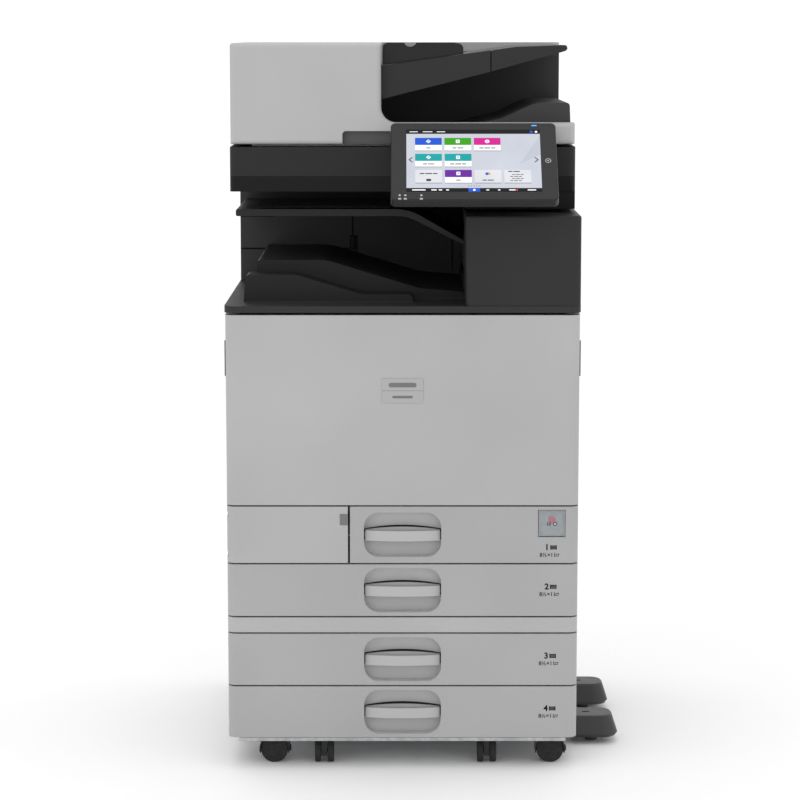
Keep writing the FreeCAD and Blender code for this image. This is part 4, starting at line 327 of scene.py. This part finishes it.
def finish_nodes():
    """Materials of every CAD node."""
    light = moulded("light_cover", LIGHT, 0.52)
    paint(light, "front_door", "left_cover", "right_cover", "rear_cover", "right_door", "feed_cover",
          "bank_front_rail", "bank_covers")
    covers_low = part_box("feeder_covers")[0]
    panel_x = (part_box("panel_housing")[0].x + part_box("panel_housing")[1].x) / 2
    # Painted shade: the faces set back inside the finger scoop under the feeder are painted near black,
    # where shade falls under the feeder.
    scoop_shade = {0: (panel_x - SCOOP_LEFT, panel_x + SCOOP_RIGHT),
             1: (covers_low.y + 1.0 * MM, covers_low.y + SCOOP_DEEP),
             2: (covers_low.z - 1.0 * MM, covers_low.z + SCOOP_HIGH)}
    paint(moulded("feeder_light", LIGHT, 0.52, patches=((scoop_shade, (0.085, 0.085, 0.087)),)), "feeder_covers")
    for number in range(1, 5):
        paint(drawer_material(number), "tray_%d_front" % number)
    tab = {0: (WASTE_HIGH.x - 0.0136, WASTE_HIGH.x + 0.001),
           2: (WASTE_HIGH.z - 0.0311, WASTE_HIGH.z - 0.0124)}
    paint(moulded("waste_cover_light", LIGHT, 0.52, patches=((tab, (0.16, 0.162, 0.165)),)), "waste_cover")
    plate = {0: (MID_X - 0.1, MID_X + 0.1)}
    paint(moulded("door_trim_dark", (0.05, 0.05, 0.052), 0.5, patches=((plate, scaled(LIGHT, 0.93)),)),
          "door_trim")
    paint(moulded("black_cover", BLACK, 0.48, spread=0.1, specular=LOW_GLOSS), "exit_housing",
          "original_tray", "original_tray_end")
    scan_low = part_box("scanner_housing")[0].z
    # Painted shade: the scanner housing below its crease is painted darker than above it, standing in for
    # the dimmer light and reflection on its lower part.
    under_crease_shade = {2: (scan_low, SCAN_TOP - CREASE)}
    paint(moulded("scanner_black", (0.021, 0.021, 0.022), 0.5, spread=0.1, specular=LOW_GLOSS,
                  patches=((under_crease_shade, (0.0065, 0.0065, 0.0065)),)), "scanner_housing")
    waves = {2: (LID_TOP + WAVES, LID_TOP + 0.2)}
    paint(moulded("lid_black", (0.03, 0.03, 0.031), 0.5, spread=0.1, specular=LOW_GLOSS,
                  patches=((waves, (0.017, 0.017, 0.017)),)), "top_cover")
    paint(moulded("bin_black", (0.012, 0.012, 0.012), 0.45, spread=0.1, specular=0.3), "bin_tray")
    # Painted light: the feeder body's black is painted paler than the other black covers to lift the shade
    # it sits in.
    paint(moulded("feeder_black", (0.046, 0.046, 0.046), 0.5, spread=0.1, specular=LOW_GLOSS),
          "feeder_body")
    # Painted light: the output cavity's rear wall is painted paler than the other black covers to lift the
    # shade in the cavity; its seams are dark joints.
    paint(moulded("deep_cover", (0.046, 0.046, 0.046), 0.55, spread=0.1, specular=LOW_GLOSS,
                  patches=cavity_seams()), "cavity_wall")
    paint(moulded("inner_cover", DEEP, 0.55, spread=0.1, specular=LOW_GLOSS), "inner_front_cover")
    paint(moulded("guide_plastic", (0.016, 0.016, 0.017), 0.42, specular=0.2), "document_guide_front",
          "document_guide_rear")
    paint(moulded("switch_frame", (0.36, 0.38, 0.39), 0.45), "switch_housing")
    paint(steel("zinc_sheet", (0.5, 0.51, 0.52), False), "bank_frame", "engine_frame")
    paint(steel("bracket_steel", (0.52, 0.52, 0.53), True), "hinge_brackets", "scanner_rails")
    paint(moulded("caster_fork", (0.02, 0.02, 0.021), 0.5, specular=0.3), "caster_brackets")
    paint(moulded("tray_inside", (0.2, 0.2, 0.205), 0.55), "bypass_tray",
          *["tray_%d_box" % number for number in range(1, 5)])
    paint(moulded("foot_plastic", (0.038, 0.038, 0.039), 0.42, spread=0.12, specular=0.35), "stabilizers")
    paint(moulded("caster_hood", (0.019, 0.019, 0.02), 0.4, specular=0.3), "front_left_caster",
          "front_right_caster")
    tyre = rubber("tyre_rubber", (0.017, 0.017, 0.018))
    for side in ("left", "right"):
        paint(tyre, "front_%s_wheels" % side, "rear_%s_wheels" % side, "support_%s_wheels" % side)
    paint(rubber("roller_rubber", (0.06, 0.06, 0.062), 0.6), "exit_roller", "feed_roller")
    paint(moulded("unit_plastic", (0.05, 0.05, 0.055), 0.5), "imaging_units", "laser_unit",
          "fuser_and_transfer", "scan_carriage")
    paint(steel("service_box", (0.4, 0.41, 0.42), False, 0.45), "electronics")
    paint(toner_material(), "toner_bottles")
    paint(clear("platen", (0.5, 0.58, 0.58), 0.35), "platen_glass")
    paint(moulded("panel_bezel", (0.0145, 0.0145, 0.0155), 0.34, grain=2200.0, relief=0.05,
                  specular=0.28), "panel_housing")
    paint(glowing("screen_back", (0.47, 0.49, 0.55), 0.2), "panel_screen")
    paint(clear("flap_plastic", (0.45, 0.49, 0.51), 0.45), "power_flap")
    paint(moulded("switch_button", (0.4, 0.41, 0.42), 0.4), "power_switch")
    paint(moulded("white_foam", (0.78, 0.78, 0.76), 0.7, grain=600.0), "platen_sheet")


TONER_LEFT = 257.5 * MM       # left edge of the first bottle's share of the width
TONER_STEP = 85.0 * MM


def toner_material():
    """Four bottles in four toner colours, told apart by where they lie; the waste box is grey."""
    toner = ((0.75, 0.62, 0.03), (0.6, 0.02, 0.22), (0.02, 0.25, 0.55), (0.03, 0.03, 0.03))
    patches = []
    for place, tone in enumerate(toner):
        start = MID_X - TONER_LEFT + place * TONER_STEP
        patches.append(({0: (start, start + TONER_STEP), 2: (WASTE_HIGH.z + 0.05, 2.0)}, tone))
    return moulded("toner_plastic", (0.12, 0.12, 0.12), 0.35, patches=tuple(patches))


# ------------------------------------------------------------------ mesh helpers
def new_object(name, mesh, material, body):
    """A piece made of one mesh and one material, riding on a body."""
    piece = bpy.data.objects.new(name, mesh)
    bpy.context.scene.collection.objects.link(piece)
    piece.data.materials.append(material)
    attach(piece, body)
    return piece


def rounded(width, height, radius, steps=5):
    """Corner-rounded rectangle centred on the origin."""
    points = []
    radius = min(radius, width / 2 - 1e-6, height / 2 - 1e-6)
    for quarter in range(4):
        centre_x = (width / 2 - radius) * (1 if quarter in (0, 3) else -1)
        centre_y = (height / 2 - radius) * (1 if quarter in (0, 1) else -1)
        for step in range(steps + 1):
            angle = math.pi / 2 * (quarter + step / steps)
            points.append((centre_x + radius * math.cos(angle), centre_y + radius * math.sin(angle)))
    return points


def circle(radius, steps=28):
    """Circle centred on the origin."""
    return [(radius * math.cos(2 * math.pi * k / steps), radius * math.sin(2 * math.pi * k / steps))
            for k in range(steps)]


def plates(name, shapes, thickness, place, material, body, record_slot):
    """Thin raised plates in one mesh. shapes lists (outline, centre a, centre b), and place maps
    (a, b, lift) to a point."""
    mesh = bmesh.new()
    for outline, centre_a, centre_b in shapes:
        rings = []
        for lift, shrink in ((0.0, 1.0), (thickness * 0.7, 1.0), (thickness, 0.985)):
            ring = [mesh.verts.new(place(centre_a + a * shrink, centre_b + b * shrink, lift))
                    for a, b in outline]
            rings.append(ring)
        count = len(outline)
        for lower, upper in zip(rings, rings[1:]):
            for k in range(count):
                mesh.faces.new((lower[k], lower[(k + 1) % count], upper[(k + 1) % count], upper[k]))
        mesh.faces.new(rings[-1])
        mesh.faces.new(list(reversed(rings[0])))
    bmesh.ops.recalc_face_normals(mesh, faces=mesh.faces)
    data = bpy.data.meshes.new(name)
    mesh.to_mesh(data)
    mesh.free()
    return new_object(name, data, material, body)


def on_front(x, z, y=None):
    """Placer for pieces that lie on a front face; a is right, b is up and lift comes out of the face."""
    depth = FACE_Y if y is None else y
    return lambda a, b, lift: Vector((x + a, depth - lift, z + b))


def on_back(x, z, y):
    """Placer for pieces on the rear face; a is right as seen from behind and lift comes out of the face."""
    return lambda a, b, lift: Vector((x - a, y + lift, z + b))


def on_side(x, outward):
    """Placer for pieces on a side face; a is y, b is z and outward is -1 on the left, 1 on the right."""
    return lambda a, b, lift: Vector((x + outward * lift, a, b))


def on_screen(a, b, lift):
    """Point on the tilted screen; a right from its left edge, b up the slope, lift out of the glass."""
    slope_y = math.cos(TILT) * b - math.sin(TILT) * lift
    slope_z = math.sin(TILT) * b + math.cos(TILT) * lift
    return Vector((SCREEN_LOW.x + a, SCREEN_LOW.y + slope_y,
                   SCREEN_LOW.z + SCREEN_T * math.cos(TILT) + slope_z))


# ------------------------------------------------------------------ operation panel
TILE_W = 43.8 * MM
TILE_H = 27.9 * MM
TILE_STEP_X = 48.3 * MM
TILE_STEP_Y = 35.3 * MM
TILE_X = 14.2 * MM
TILE_TOP = 118.5 * MM
TILE_HEAD = 15.7 * MM
TOP_BAR = 9.0 * MM            # heights of the dark bars at the screen's top and foot
FOOT_BAR = 8.6 * MM
SKIN = 0.12 * MM
PANEL_PIECE = ("operation_panel", "screen_glass")


def tile_centre(row, column):
    return TILE_X + TILE_W / 2 + column * TILE_STEP_X, TILE_TOP - TILE_H / 2 - row * TILE_STEP_Y


def words(x, y, count, height):
    """A line of count plain bars that stand for words, centred at x and y."""
    widths = [(3.7 + 1.6 * (k % 2)) * height for k in range(count)]
    gap = 1.2 * MM
    start = x - (sum(widths) + gap * (count - 1)) / 2
    bars = []
    for width in widths:
        bars.append((rounded(width, height, height * 0.4), start + width / 2, y))
        start += width + gap
    return bars


def screen_content():
    """Home screen: bars, coloured tiles with plain symbols, page arrows and a note."""
    width = SCREEN_HIGH.x - SCREEN_LOW.x
    length = (SCREEN_HIGH.y - SCREEN_LOW.y) / math.cos(TILT) - SCREEN_T
    white = glowing("pixel_white", (0.74, 0.75, 0.77), 0.3)
    card = glowing("pixel_card", (0.56, 0.57, 0.6), 0.25)
    letters = glowing("pixel_letters", (0.05, 0.05, 0.055), 0.05)
    dark = glowing("pixel_black", (0.006, 0.006, 0.008), 0.02)
    grey = glowing("pixel_grey", (0.2, 0.21, 0.23), 0.12)
    blue = glowing("pixel_blue", (0.012, 0.08, 0.5), 0.3)
    tile_colors = {"blue": (0.01, 0.07, 0.48), "green": (0.03, 0.27, 0.006), "magenta": (0.5, 0.01, 0.22),
                   "teal": (0.005, 0.27, 0.27), "purple": (0.11, 0.015, 0.26)}
    bars = [(rounded(width, TOP_BAR, 0.5 * MM), width / 2, length - TOP_BAR / 2),
            (rounded(width, FOOT_BAR, 0.5 * MM), width / 2, FOOT_BAR / 2)]
    plates("screen_bars", bars, SKIN, on_screen, dark, *PANEL_PIECE)
    sweep = [(0, 0), (0, 42 * MM), (-34 * MM, -20 * MM)]
    plates("screen_sweep", [(sweep, width, length - 55 * MM)], 0.5 * SKIN, on_screen,
           glowing("pixel_sweep", (0.42, 0.44, 0.51), 0.2), *PANEL_PIECE)
    layout = {(0, 0): "blue", (0, 1): "green", (0, 2): "magenta", (1, 0): "teal", (1, 1): "teal",
              (2, 1): "purple"}
    note_x = TILE_X + 3 * TILE_STEP_X + TILE_W / 2
    cards = [(rounded(TILE_W, TILE_H, 1.2 * MM), *tile_centre(row, column)) for row, column in layout]
    plates("screen_cards", cards, SKIN, on_screen, white, *PANEL_PIECE)
    plain = [(rounded(TILE_W, TILE_H, 1.2 * MM), *tile_centre(2, 0)),
             (rounded(TILE_W, TILE_H, 1.2 * MM), *tile_centre(2, 2)),
             (rounded(TILE_W, TILE_H, 1.2 * MM), note_x, tile_centre(2, 0)[1])]
    plates("screen_plain_cards", plain, SKIN, on_screen, card, *PANEL_PIECE)
    shade = [(rounded(TILE_W, 1.2 * MM, 0.5 * MM), x, y - TILE_H / 2 - 0.7 * MM)
             for _, x, y in cards + plain]
    plates("screen_card_shade", shade, SKIN, on_screen, grey, *PANEL_PIECE)
    for tone, color in tile_colors.items():
        heads = []
        for (row, column), name in layout.items():
            if name == tone:
                x, y = tile_centre(row, column)
                heads.append((rounded(TILE_W, TILE_HEAD, 1.2 * MM), x, y + (TILE_H - TILE_HEAD) / 2))
        plates("screen_head_%s" % tone, heads, 2 * SKIN, on_screen,
               glowing("pixel_" + tone, color, 0.3), *PANEL_PIECE)
    symbols = []
    for row, column in layout:
        x, y = tile_centre(row, column)
        y += (TILE_H - TILE_HEAD) / 2
        kind = (row * 3 + column) % 3
        if kind == 0:
            symbols.append(([(4.2 * MM, 0), (0, 4.2 * MM), (-4.2 * MM, 0), (0, -4.2 * MM)], x, y))
        elif kind == 1:
            symbols.append((rounded(6.5 * MM, 7.5 * MM, 1.0 * MM), x, y))
        else:
            symbols.append((circle(3.8 * MM), x, y))
    plates("screen_symbols", symbols, 3 * SKIN, on_screen, white, *PANEL_PIECE)
    marks = []
    for row, column in layout:
        x, y = tile_centre(row, column)
        y += (TILE_H - TILE_HEAD) / 2
        marks.append((rounded(3.2 * MM, 1.2 * MM, 0.5 * MM), x + 0.4 * MM, y + 0.8 * MM))
        marks.append((rounded(2.2 * MM, 1.0 * MM, 0.4 * MM), x - 0.4 * MM, y - 1.4 * MM))
    plates("screen_symbol_marks", marks, 4 * SKIN, on_screen, blue, *PANEL_PIECE)
    captions = []
    for row, column in list(layout) + [(2, 2)]:
        x, y = tile_centre(row, column)
        low = y - TILE_H / 2 + 5.6 * MM
        captions += words(x, low, 1 + (row + column) % 3, 1.9 * MM)
    x, y = tile_centre(2, 0)
    captions += words(x, y + 6 * MM, 3, 2.1 * MM)
    captions.append((rounded(8 * MM, 5 * MM, 1 * MM), x, y - 8 * MM))
    for line in range(4):
        captions += words(note_x - 3 * MM * (line % 2), y + (4 - 4.4 * line) * MM, 3, 1.3 * MM)
    captions += words(note_x - 6 * MM, y + 10.5 * MM, 2, 2.0 * MM)
    plates("screen_captions", captions, 2 * SKIN, on_screen, letters, *PANEL_PIECE)
    arrow = [(3.0 * MM, 6.0 * MM), (4.2 * MM, 5.0 * MM), (-0.6 * MM, 0), (4.2 * MM, -5.0 * MM),
             (3.0 * MM, -6.0 * MM), (-3.0 * MM, 0)]
    mirrored = [(-a, b) for a, b in reversed(arrow)]
    middle = length / 2 + 2 * MM
    plates("screen_arrows", [(arrow, 6.3 * MM, middle), (mirrored, width - 6.3 * MM, middle)], SKIN,
           on_screen, letters, *PANEL_PIECE)
    dots = [(circle(1.0 * MM, 12), width / 2 + (k - 2) * 4.5 * MM, 13.2 * MM) for k in range(5)]
    plates("screen_dots", dots, SKIN, on_screen, grey, *PANEL_PIECE)
    status = []
    for x, w in ((9, 22), (40, 9), (52, 6), (64, 5), (129, 5), (148, 4), (166, 14), (196, 14)):
        status.append((rounded(w * MM, 2.4 * MM, 1.1 * MM), x * MM + w * MM / 2, 4.4 * MM))
    for x, w in ((5, 14), (27, 16), (50, 14)):
        status.append((rounded(w * MM, 1.5 * MM, 0.7 * MM), x * MM + w * MM / 2, length - 4.5 * MM))
    status.append((rounded(4 * MM, 4 * MM, 0.8 * MM), width - 6 * MM, length - 4.5 * MM))
    plates("screen_status", status, 2 * SKIN, on_screen, white, *PANEL_PIECE)
    keys = [(rounded(19 * MM, 7.6 * MM, 0.8 * MM), width / 2, 4.3 * MM),
            (rounded(5 * MM, 5 * MM, 0.8 * MM), width - 14 * MM, length - 4.5 * MM)]
    plates("screen_keys", keys, 2 * SKIN, on_screen, blue, *PANEL_PIECE)
    plates("screen_home", [(circle(2.2 * MM, 20), width / 2, 4.3 * MM)], 3 * SKIN, on_screen, white,
           *PANEL_PIECE)
    red = glowing("pixel_red", (0.6, 0.02, 0.02), 0.3)
    plates("screen_stop", [(circle(1.8 * MM, 16), 178 * MM, 4.4 * MM)], 3 * SKIN, on_screen, red,
           *PANEL_PIECE)
    wedge = [(0, 3.5 * MM), (3.2 * MM, -2 * MM), (-3.2 * MM, -2 * MM)]
    amber = glowing("pixel_amber", (0.75, 0.3, 0.02), 0.25)
    x, y = tile_centre(2, 2)
    plates("screen_tool", [(wedge, x + 2 * MM, y + 5.5 * MM)], 2 * SKIN, on_screen, amber, *PANEL_PIECE)
    plates("screen_tool_disc", [(circle(3.0 * MM, 20), x - 1.5 * MM, y + 5.5 * MM)], 2 * SKIN,
           on_screen, blue, *PANEL_PIECE)


def bezel_marks():
    """Status lamps and touch marks on the panel's bezel."""
    width = SCREEN_HIGH.x - SCREEN_LOW.x
    length = (SCREEN_HIGH.y - SCREEN_LOW.y) / math.cos(TILT) - SCREEN_T
    lamp = glowing("lamp_blue", (0.05, 0.3, 0.85), 1.2)
    plates("panel_lamp", [(rounded(9 * MM, 2.2 * MM, 1.0 * MM), width - 9 * MM, length + 9.5 * MM)],
           SKIN, on_screen, lamp, *PANEL_PIECE)
    pale = glowing("mark_pale", (0.38, 0.39, 0.4), 0.1)
    ring = [(circle(4.9 * MM), width + 12 * MM, length / 2)]
    plates("panel_ring", ring, SKIN, on_screen, pale, *PANEL_PIECE)
    plates("panel_ring_core", [(circle(3.6 * MM), width + 12 * MM, length / 2)], 2 * SKIN, on_screen,
           glowing("mark_dark", (0.02, 0.02, 0.022), 0.02), *PANEL_PIECE)
    plates("panel_ring_dot", [(circle(1.5 * MM), width + 12 * MM, length / 2)], 3 * SKIN, on_screen,
           pale, *PANEL_PIECE)
    lamps = []
    for x in (-11, -2, 24):
        lamps.append((circle(2.0 * MM, 14), x * MM, -7.0 * MM))
        lamps.append((rounded(5.0 * MM, 3.4 * MM, 0.6 * MM), x * MM, -14.5 * MM))
    plates("panel_small_marks", lamps, SKIN, on_screen, pale, *PANEL_PIECE)


# ------------------------------------------------------------------ drawers
PRINT_T = 0.1 * MM
MARK_X = 46.5 * MM            # marks' middle from the front's right edge
MARK_DROP = 38.0 * MM         # digit's middle under the front's top
SWITCH_DROP = 31.0 * MM       # further under it where the switch takes the place
SIZE_DROP = 13.0 * MM         # size mark under the digit
SHEET_X = 11.5 * MM           # slanted sheet at the right of the size


def writing(name, words, size, x, z, body, bold=0.0):
    """Plain figures on a drawer front, centred at x and z."""
    curve = bpy.data.curves.new(name, "FONT")
    curve.body = words
    curve.size = size
    curve.extrude = PRINT_T
    curve.offset = bold
    curve.align_x = "CENTER"
    curve.align_y = "CENTER"
    holder = bpy.data.objects.new(name, curve)
    data = bpy.data.meshes.new_from_object(holder)
    bpy.data.objects.remove(holder)
    upright = Euler((math.pi / 2, 0, 0)).to_matrix().to_4x4()
    data.transform(Matrix.Translation((x, FACE_Y - PRINT_T, z)) @ upright)
    return new_object(name, data, INK, body)


def drawer_marks(number):
    """Digit, paper level symbol and size mark at the right of a drawer front."""
    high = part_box("tray_%d_front" % number)[1]
    body = "tray_%d" % number
    x = high.x - MARK_X
    z = high.z - MARK_DROP - (SWITCH_DROP if number == 1 else 0.0)
    writing("drawer_digit_%d" % number, str(number), 14.0 * MM, x - 6 * MM, z, body, 0.4 * MM)
    writing("drawer_size_%d" % number, "8\u00bd\u00d711", 9.4 * MM, x - 4.5 * MM, z - SIZE_DROP,
            body, 0.12 * MM)
    shapes = [(rounded(9 * MM, 1.9 * MM, 0.3 * MM), 5 * MM, (k - 1) * 2.4 * MM) for k in range(3)]
    shapes.append((rounded(1.4 * MM, 7.6 * MM, 0.3 * MM), 0.2 * MM, 0))
    shapes.append((rounded(1.4 * MM, 7.6 * MM, 0.3 * MM), 9.8 * MM, 0))
    slanted = [(3.4 * MM, 2.3 * MM), (-1.8 * MM, 2.3 * MM), (-3.4 * MM, -2.3 * MM), (1.8 * MM, -2.3 * MM)]
    shapes.append((slanted, SHEET_X, -SIZE_DROP))
    plates("drawer_marks_%d" % number, shapes, PRINT_T, on_front(x, z), INK, body, "dark_cover")
    inner = [(a * 0.62, b * 0.55) for a, b in slanted]
    plates("drawer_sheet_%d" % number, [(inner, SHEET_X, -SIZE_DROP)], 2 * PRINT_T, on_front(x, z),
           LIGHT_PLAIN, body, "light_cover")


def switch_marks():
    """Reddish lamp print and the on and off strokes on the switch's flap."""
    low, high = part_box("power_flap")
    centre_x = (low.x + high.x) / 2
    centre_z = (low.z + high.z) / 2
    face = on_front(centre_x, centre_z, low.y)
    red = moulded("switch_print", (0.4, 0.15, 0.2), 0.4)
    plates("switch_lamp", [(circle(6.0 * MM), 0, 6.5 * MM)], 0.12 * MM, face, red, "power_flap",
           "switch_red")
    strokes = [(rounded(1.2 * MM, 6 * MM, 0.5 * MM), -7 * MM, 0),
               (rounded(1.2 * MM, 7 * MM, 0.5 * MM), -3 * MM, 0.5 * MM),
               (circle(3.4 * MM), 5.5 * MM, 0)]
    plates("switch_strokes", strokes, 0.2 * MM, face, INK, "power_flap", "dark_cover")
    pale = moulded("switch_pale", (0.42, 0.44, 0.45), 0.4)
    plates("switch_stroke_core", [(circle(2.3 * MM), 5.5 * MM, 0)], 0.3 * MM, face, pale, "power_flap",
           "clear_flap")


# ------------------------------------------------------------------ covers and screws
def screw_heads(name, spots, radius, place, body, record_slot="bracket_steel"):
    """Domed screw heads with a cross recess; spots lists centres (a, b)."""
    steps = 20
    heads = []
    for a, b in spots:
        heads.append((circle(radius, steps), a, b))
    plates(name, heads, 1.2 * MM, place, SCREW, body, record_slot)
    slots = []
    for a, b in spots:
        slots.append((rounded(radius * 1.1, radius * 0.28, radius * 0.1), a, b))
        slots.append((rounded(radius * 0.28, radius * 1.1, radius * 0.1), a, b))
    plates(name + "_cross", slots, 1.25 * MM, place, INK, body, record_slot)


def back_details():
    """Screws, a rating plate with plain lines and an access panel on the rear covers."""
    low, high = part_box("rear_cover")
    back = on_back(0, 0, high.y)
    spots = [(-x, z) for x in (low.x + 0.02, MID_X, high.x - 0.02) for z in (low.z + 0.018, high.z - 0.018)]
    screw_heads("rear_cover_screws", spots, 3.2 * MM, back, "main_body")
    lower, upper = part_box("bank_covers")
    spots = [(-x, z) for x in (lower.x + 0.02, upper.x - 0.02) for z in (lower.z + 0.018, upper.z - 0.018)]
    screw_heads("bank_back_screws", spots, 3.2 * MM, back, "main_body")
    plate = (rounded(0.09, 0.05, 0.003), -(MID_X - 0.12), low.z + 0.07)
    film = moulded("label_film", (0.5, 0.5, 0.49), 0.4, grain=500)
    plates("rating_plate", [plate], 0.25 * MM, back, film, "main_body", "light_cover")
    lines = []
    for row in range(5):
        wide = 0.07 - 0.012 * (row % 3)
        lines.append((rounded(wide, 1.4 * MM, 0.6 * MM), -(MID_X - 0.12) - (0.07 - wide) / 2,
                      low.z + 0.086 - row * 0.008))
    plates("rating_lines", lines, 0.35 * MM, back, INK, "main_body", "dark_cover")
    panel = on_back(MID_X - 0.02, low.z + 0.32, high.y)
    plates("rear_access_panel", [(rounded(0.3, 0.16, 0.004), 0, 0)], 0.8 * MM, panel, LIGHT_PLAIN,
           "main_body", "light_cover")
    corners = [(a, b) for b in (0.07, -0.07) for a in (-0.14, 0.14)]
    face = on_back(MID_X - 0.02, low.z + 0.32, high.y + 0.8 * MM)
    screw_heads("rear_access_screws", corners, 2.6 * MM, face, "main_body")


def side_details():
    """Screws on the left cover and the bank, and the bank's two dark grips."""
    low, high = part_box("left_cover")
    left = on_side(low.x, -1)
    spots = [(y, z) for y in (low.y + 0.02, high.y - 0.02) for z in (low.z + 0.02, high.z - 0.02)]
    screw_heads("left_cover_screws", spots, 3.0 * MM, left, "main_body")
    lower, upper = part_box("bank_covers")
    bank_left = on_side(lower.x, -1)
    bank_right = on_side(upper.x, 1)
    spots = [(y, z) for y in (lower.y + 0.02, upper.y - 0.04) for z in (lower.z + 0.02, upper.z - 0.02)]
    screw_heads("bank_left_screws", spots, 3.0 * MM, bank_left, "main_body")
    screw_heads("bank_right_screws", spots, 3.0 * MM, bank_right, "main_body")
    grip = [(rounded(0.11, 0.022, 0.01), (lower.y + upper.y) / 2, lower.z + 0.15)]
    dark = moulded("grip_dark", (0.06, 0.06, 0.062), 0.5)
    plates("bank_left_grip", grip, 0.6 * MM, bank_left, dark, "main_body", "dark_cover")
    plates("bank_right_grip", grip, 0.6 * MM, bank_right, dark, "main_body", "dark_cover")


BADGE_Z = 0.1925              # badge's middle over the door's lower edge


def badge_marks():
    """Blank generic badge: a plain bar over a plain line."""
    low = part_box("door_trim")[0]
    centre = BODY_LOW.z + BADGE_Z
    place = on_front(MID_X, centre, low.y)
    tone = moulded("badge_mark", (0.16, 0.16, 0.165), 0.45)
    shapes = [(rounded(0.046, 0.0075, 0.0035), 0, 0.0095), (rounded(0.034, 0.0042, 0.002), 0, -0.0105)]
    plates("badge_bars", shapes, 0.15 * MM, place, tone, "front_door", "trim_plastic")


# ------------------------------------------------------------------ light, floor and camera
CAMERA_DISTANCE = 4.262       # from the front faces
CAMERA_HEIGHT = 1.228
CAMERA_SIDE = -0.0043         # from the middle of the front door
CAMERA_PITCH = math.radians(8.0)
CAMERA_LENS = 116.96
SENSOR_WIDTH = 36.0
FLOOR_HALF = 9.0
WORLD_STRENGTH = 1.05
# name, place, aim, side in metres, watts
LAMPS = (("key", (-1.8, -3.0, 3.2), (0.0, 0.0, 0.7), 2.4, 14.0),
         ("top", (0.0, 0.2, 3.6), (0.0, 0.0, 0.0), 2.2, 10.0))


def studio():
    """Pale plain floor, even white surroundings, two large soft lamps and the camera."""
    mesh = bmesh.new()
    bmesh.ops.create_grid(mesh, x_segments=24, y_segments=24, size=FLOOR_HALF)
    data = bpy.data.meshes.new("floor")
    mesh.to_mesh(data)
    mesh.free()
    floor = bpy.data.objects.new("floor", data)
    bpy.context.scene.collection.objects.link(floor)
    shader = Shader("floor_paint", 0.7, specular=0.2)
    shader.color(shader.ramp(shader.noise(2.0), 0.3, 0.7, (0.95, 0.95, 0.95), (0.97, 0.97, 0.97)))
    data.materials.append(shader.material)
    world = bpy.data.worlds.new("studio")
    world.use_nodes = True
    world.node_tree.nodes["Background"].inputs["Color"].default_value = (1.0, 1.0, 1.0, 1.0)
    world.node_tree.nodes["Background"].inputs["Strength"].default_value = WORLD_STRENGTH
    bpy.context.scene.world = world
    bpy.context.scene.view_settings.view_transform = "Standard"
    for name, place, aim, size, power in LAMPS:
        data = bpy.data.lights.new(name, "AREA")
        data.shape = "RECTANGLE"
        data.size = size
        data.size_y = size
        data.energy = power
        lamp = bpy.data.objects.new(name, data)
        bpy.context.scene.collection.objects.link(lamp)
        lamp.location = place
        lamp.rotation_euler = (Vector(aim) - Vector(place)).to_track_quat("-Z", "Y").to_euler()
    camera_data = bpy.data.cameras.new("camera")
    camera_data.lens = CAMERA_LENS
    camera_data.sensor_width = SENSOR_WIDTH
    camera_data.clip_end = 50.0
    camera = bpy.data.objects.new("camera", camera_data)
    bpy.context.scene.collection.objects.link(camera)
    camera.location = (MID_X + CAMERA_SIDE, FACE_Y - CAMERA_DISTANCE, CAMERA_HEIGHT)
    camera.rotation_euler = (math.pi / 2 - CAMERA_PITCH, 0.0, 0.0)
    bpy.context.scene.camera = camera


finish_nodes()
screen_content()
bezel_marks()
for drawer in range(1, 5):
    drawer_marks(drawer)
switch_marks()
back_details()
side_details()
badge_marks()
studio()
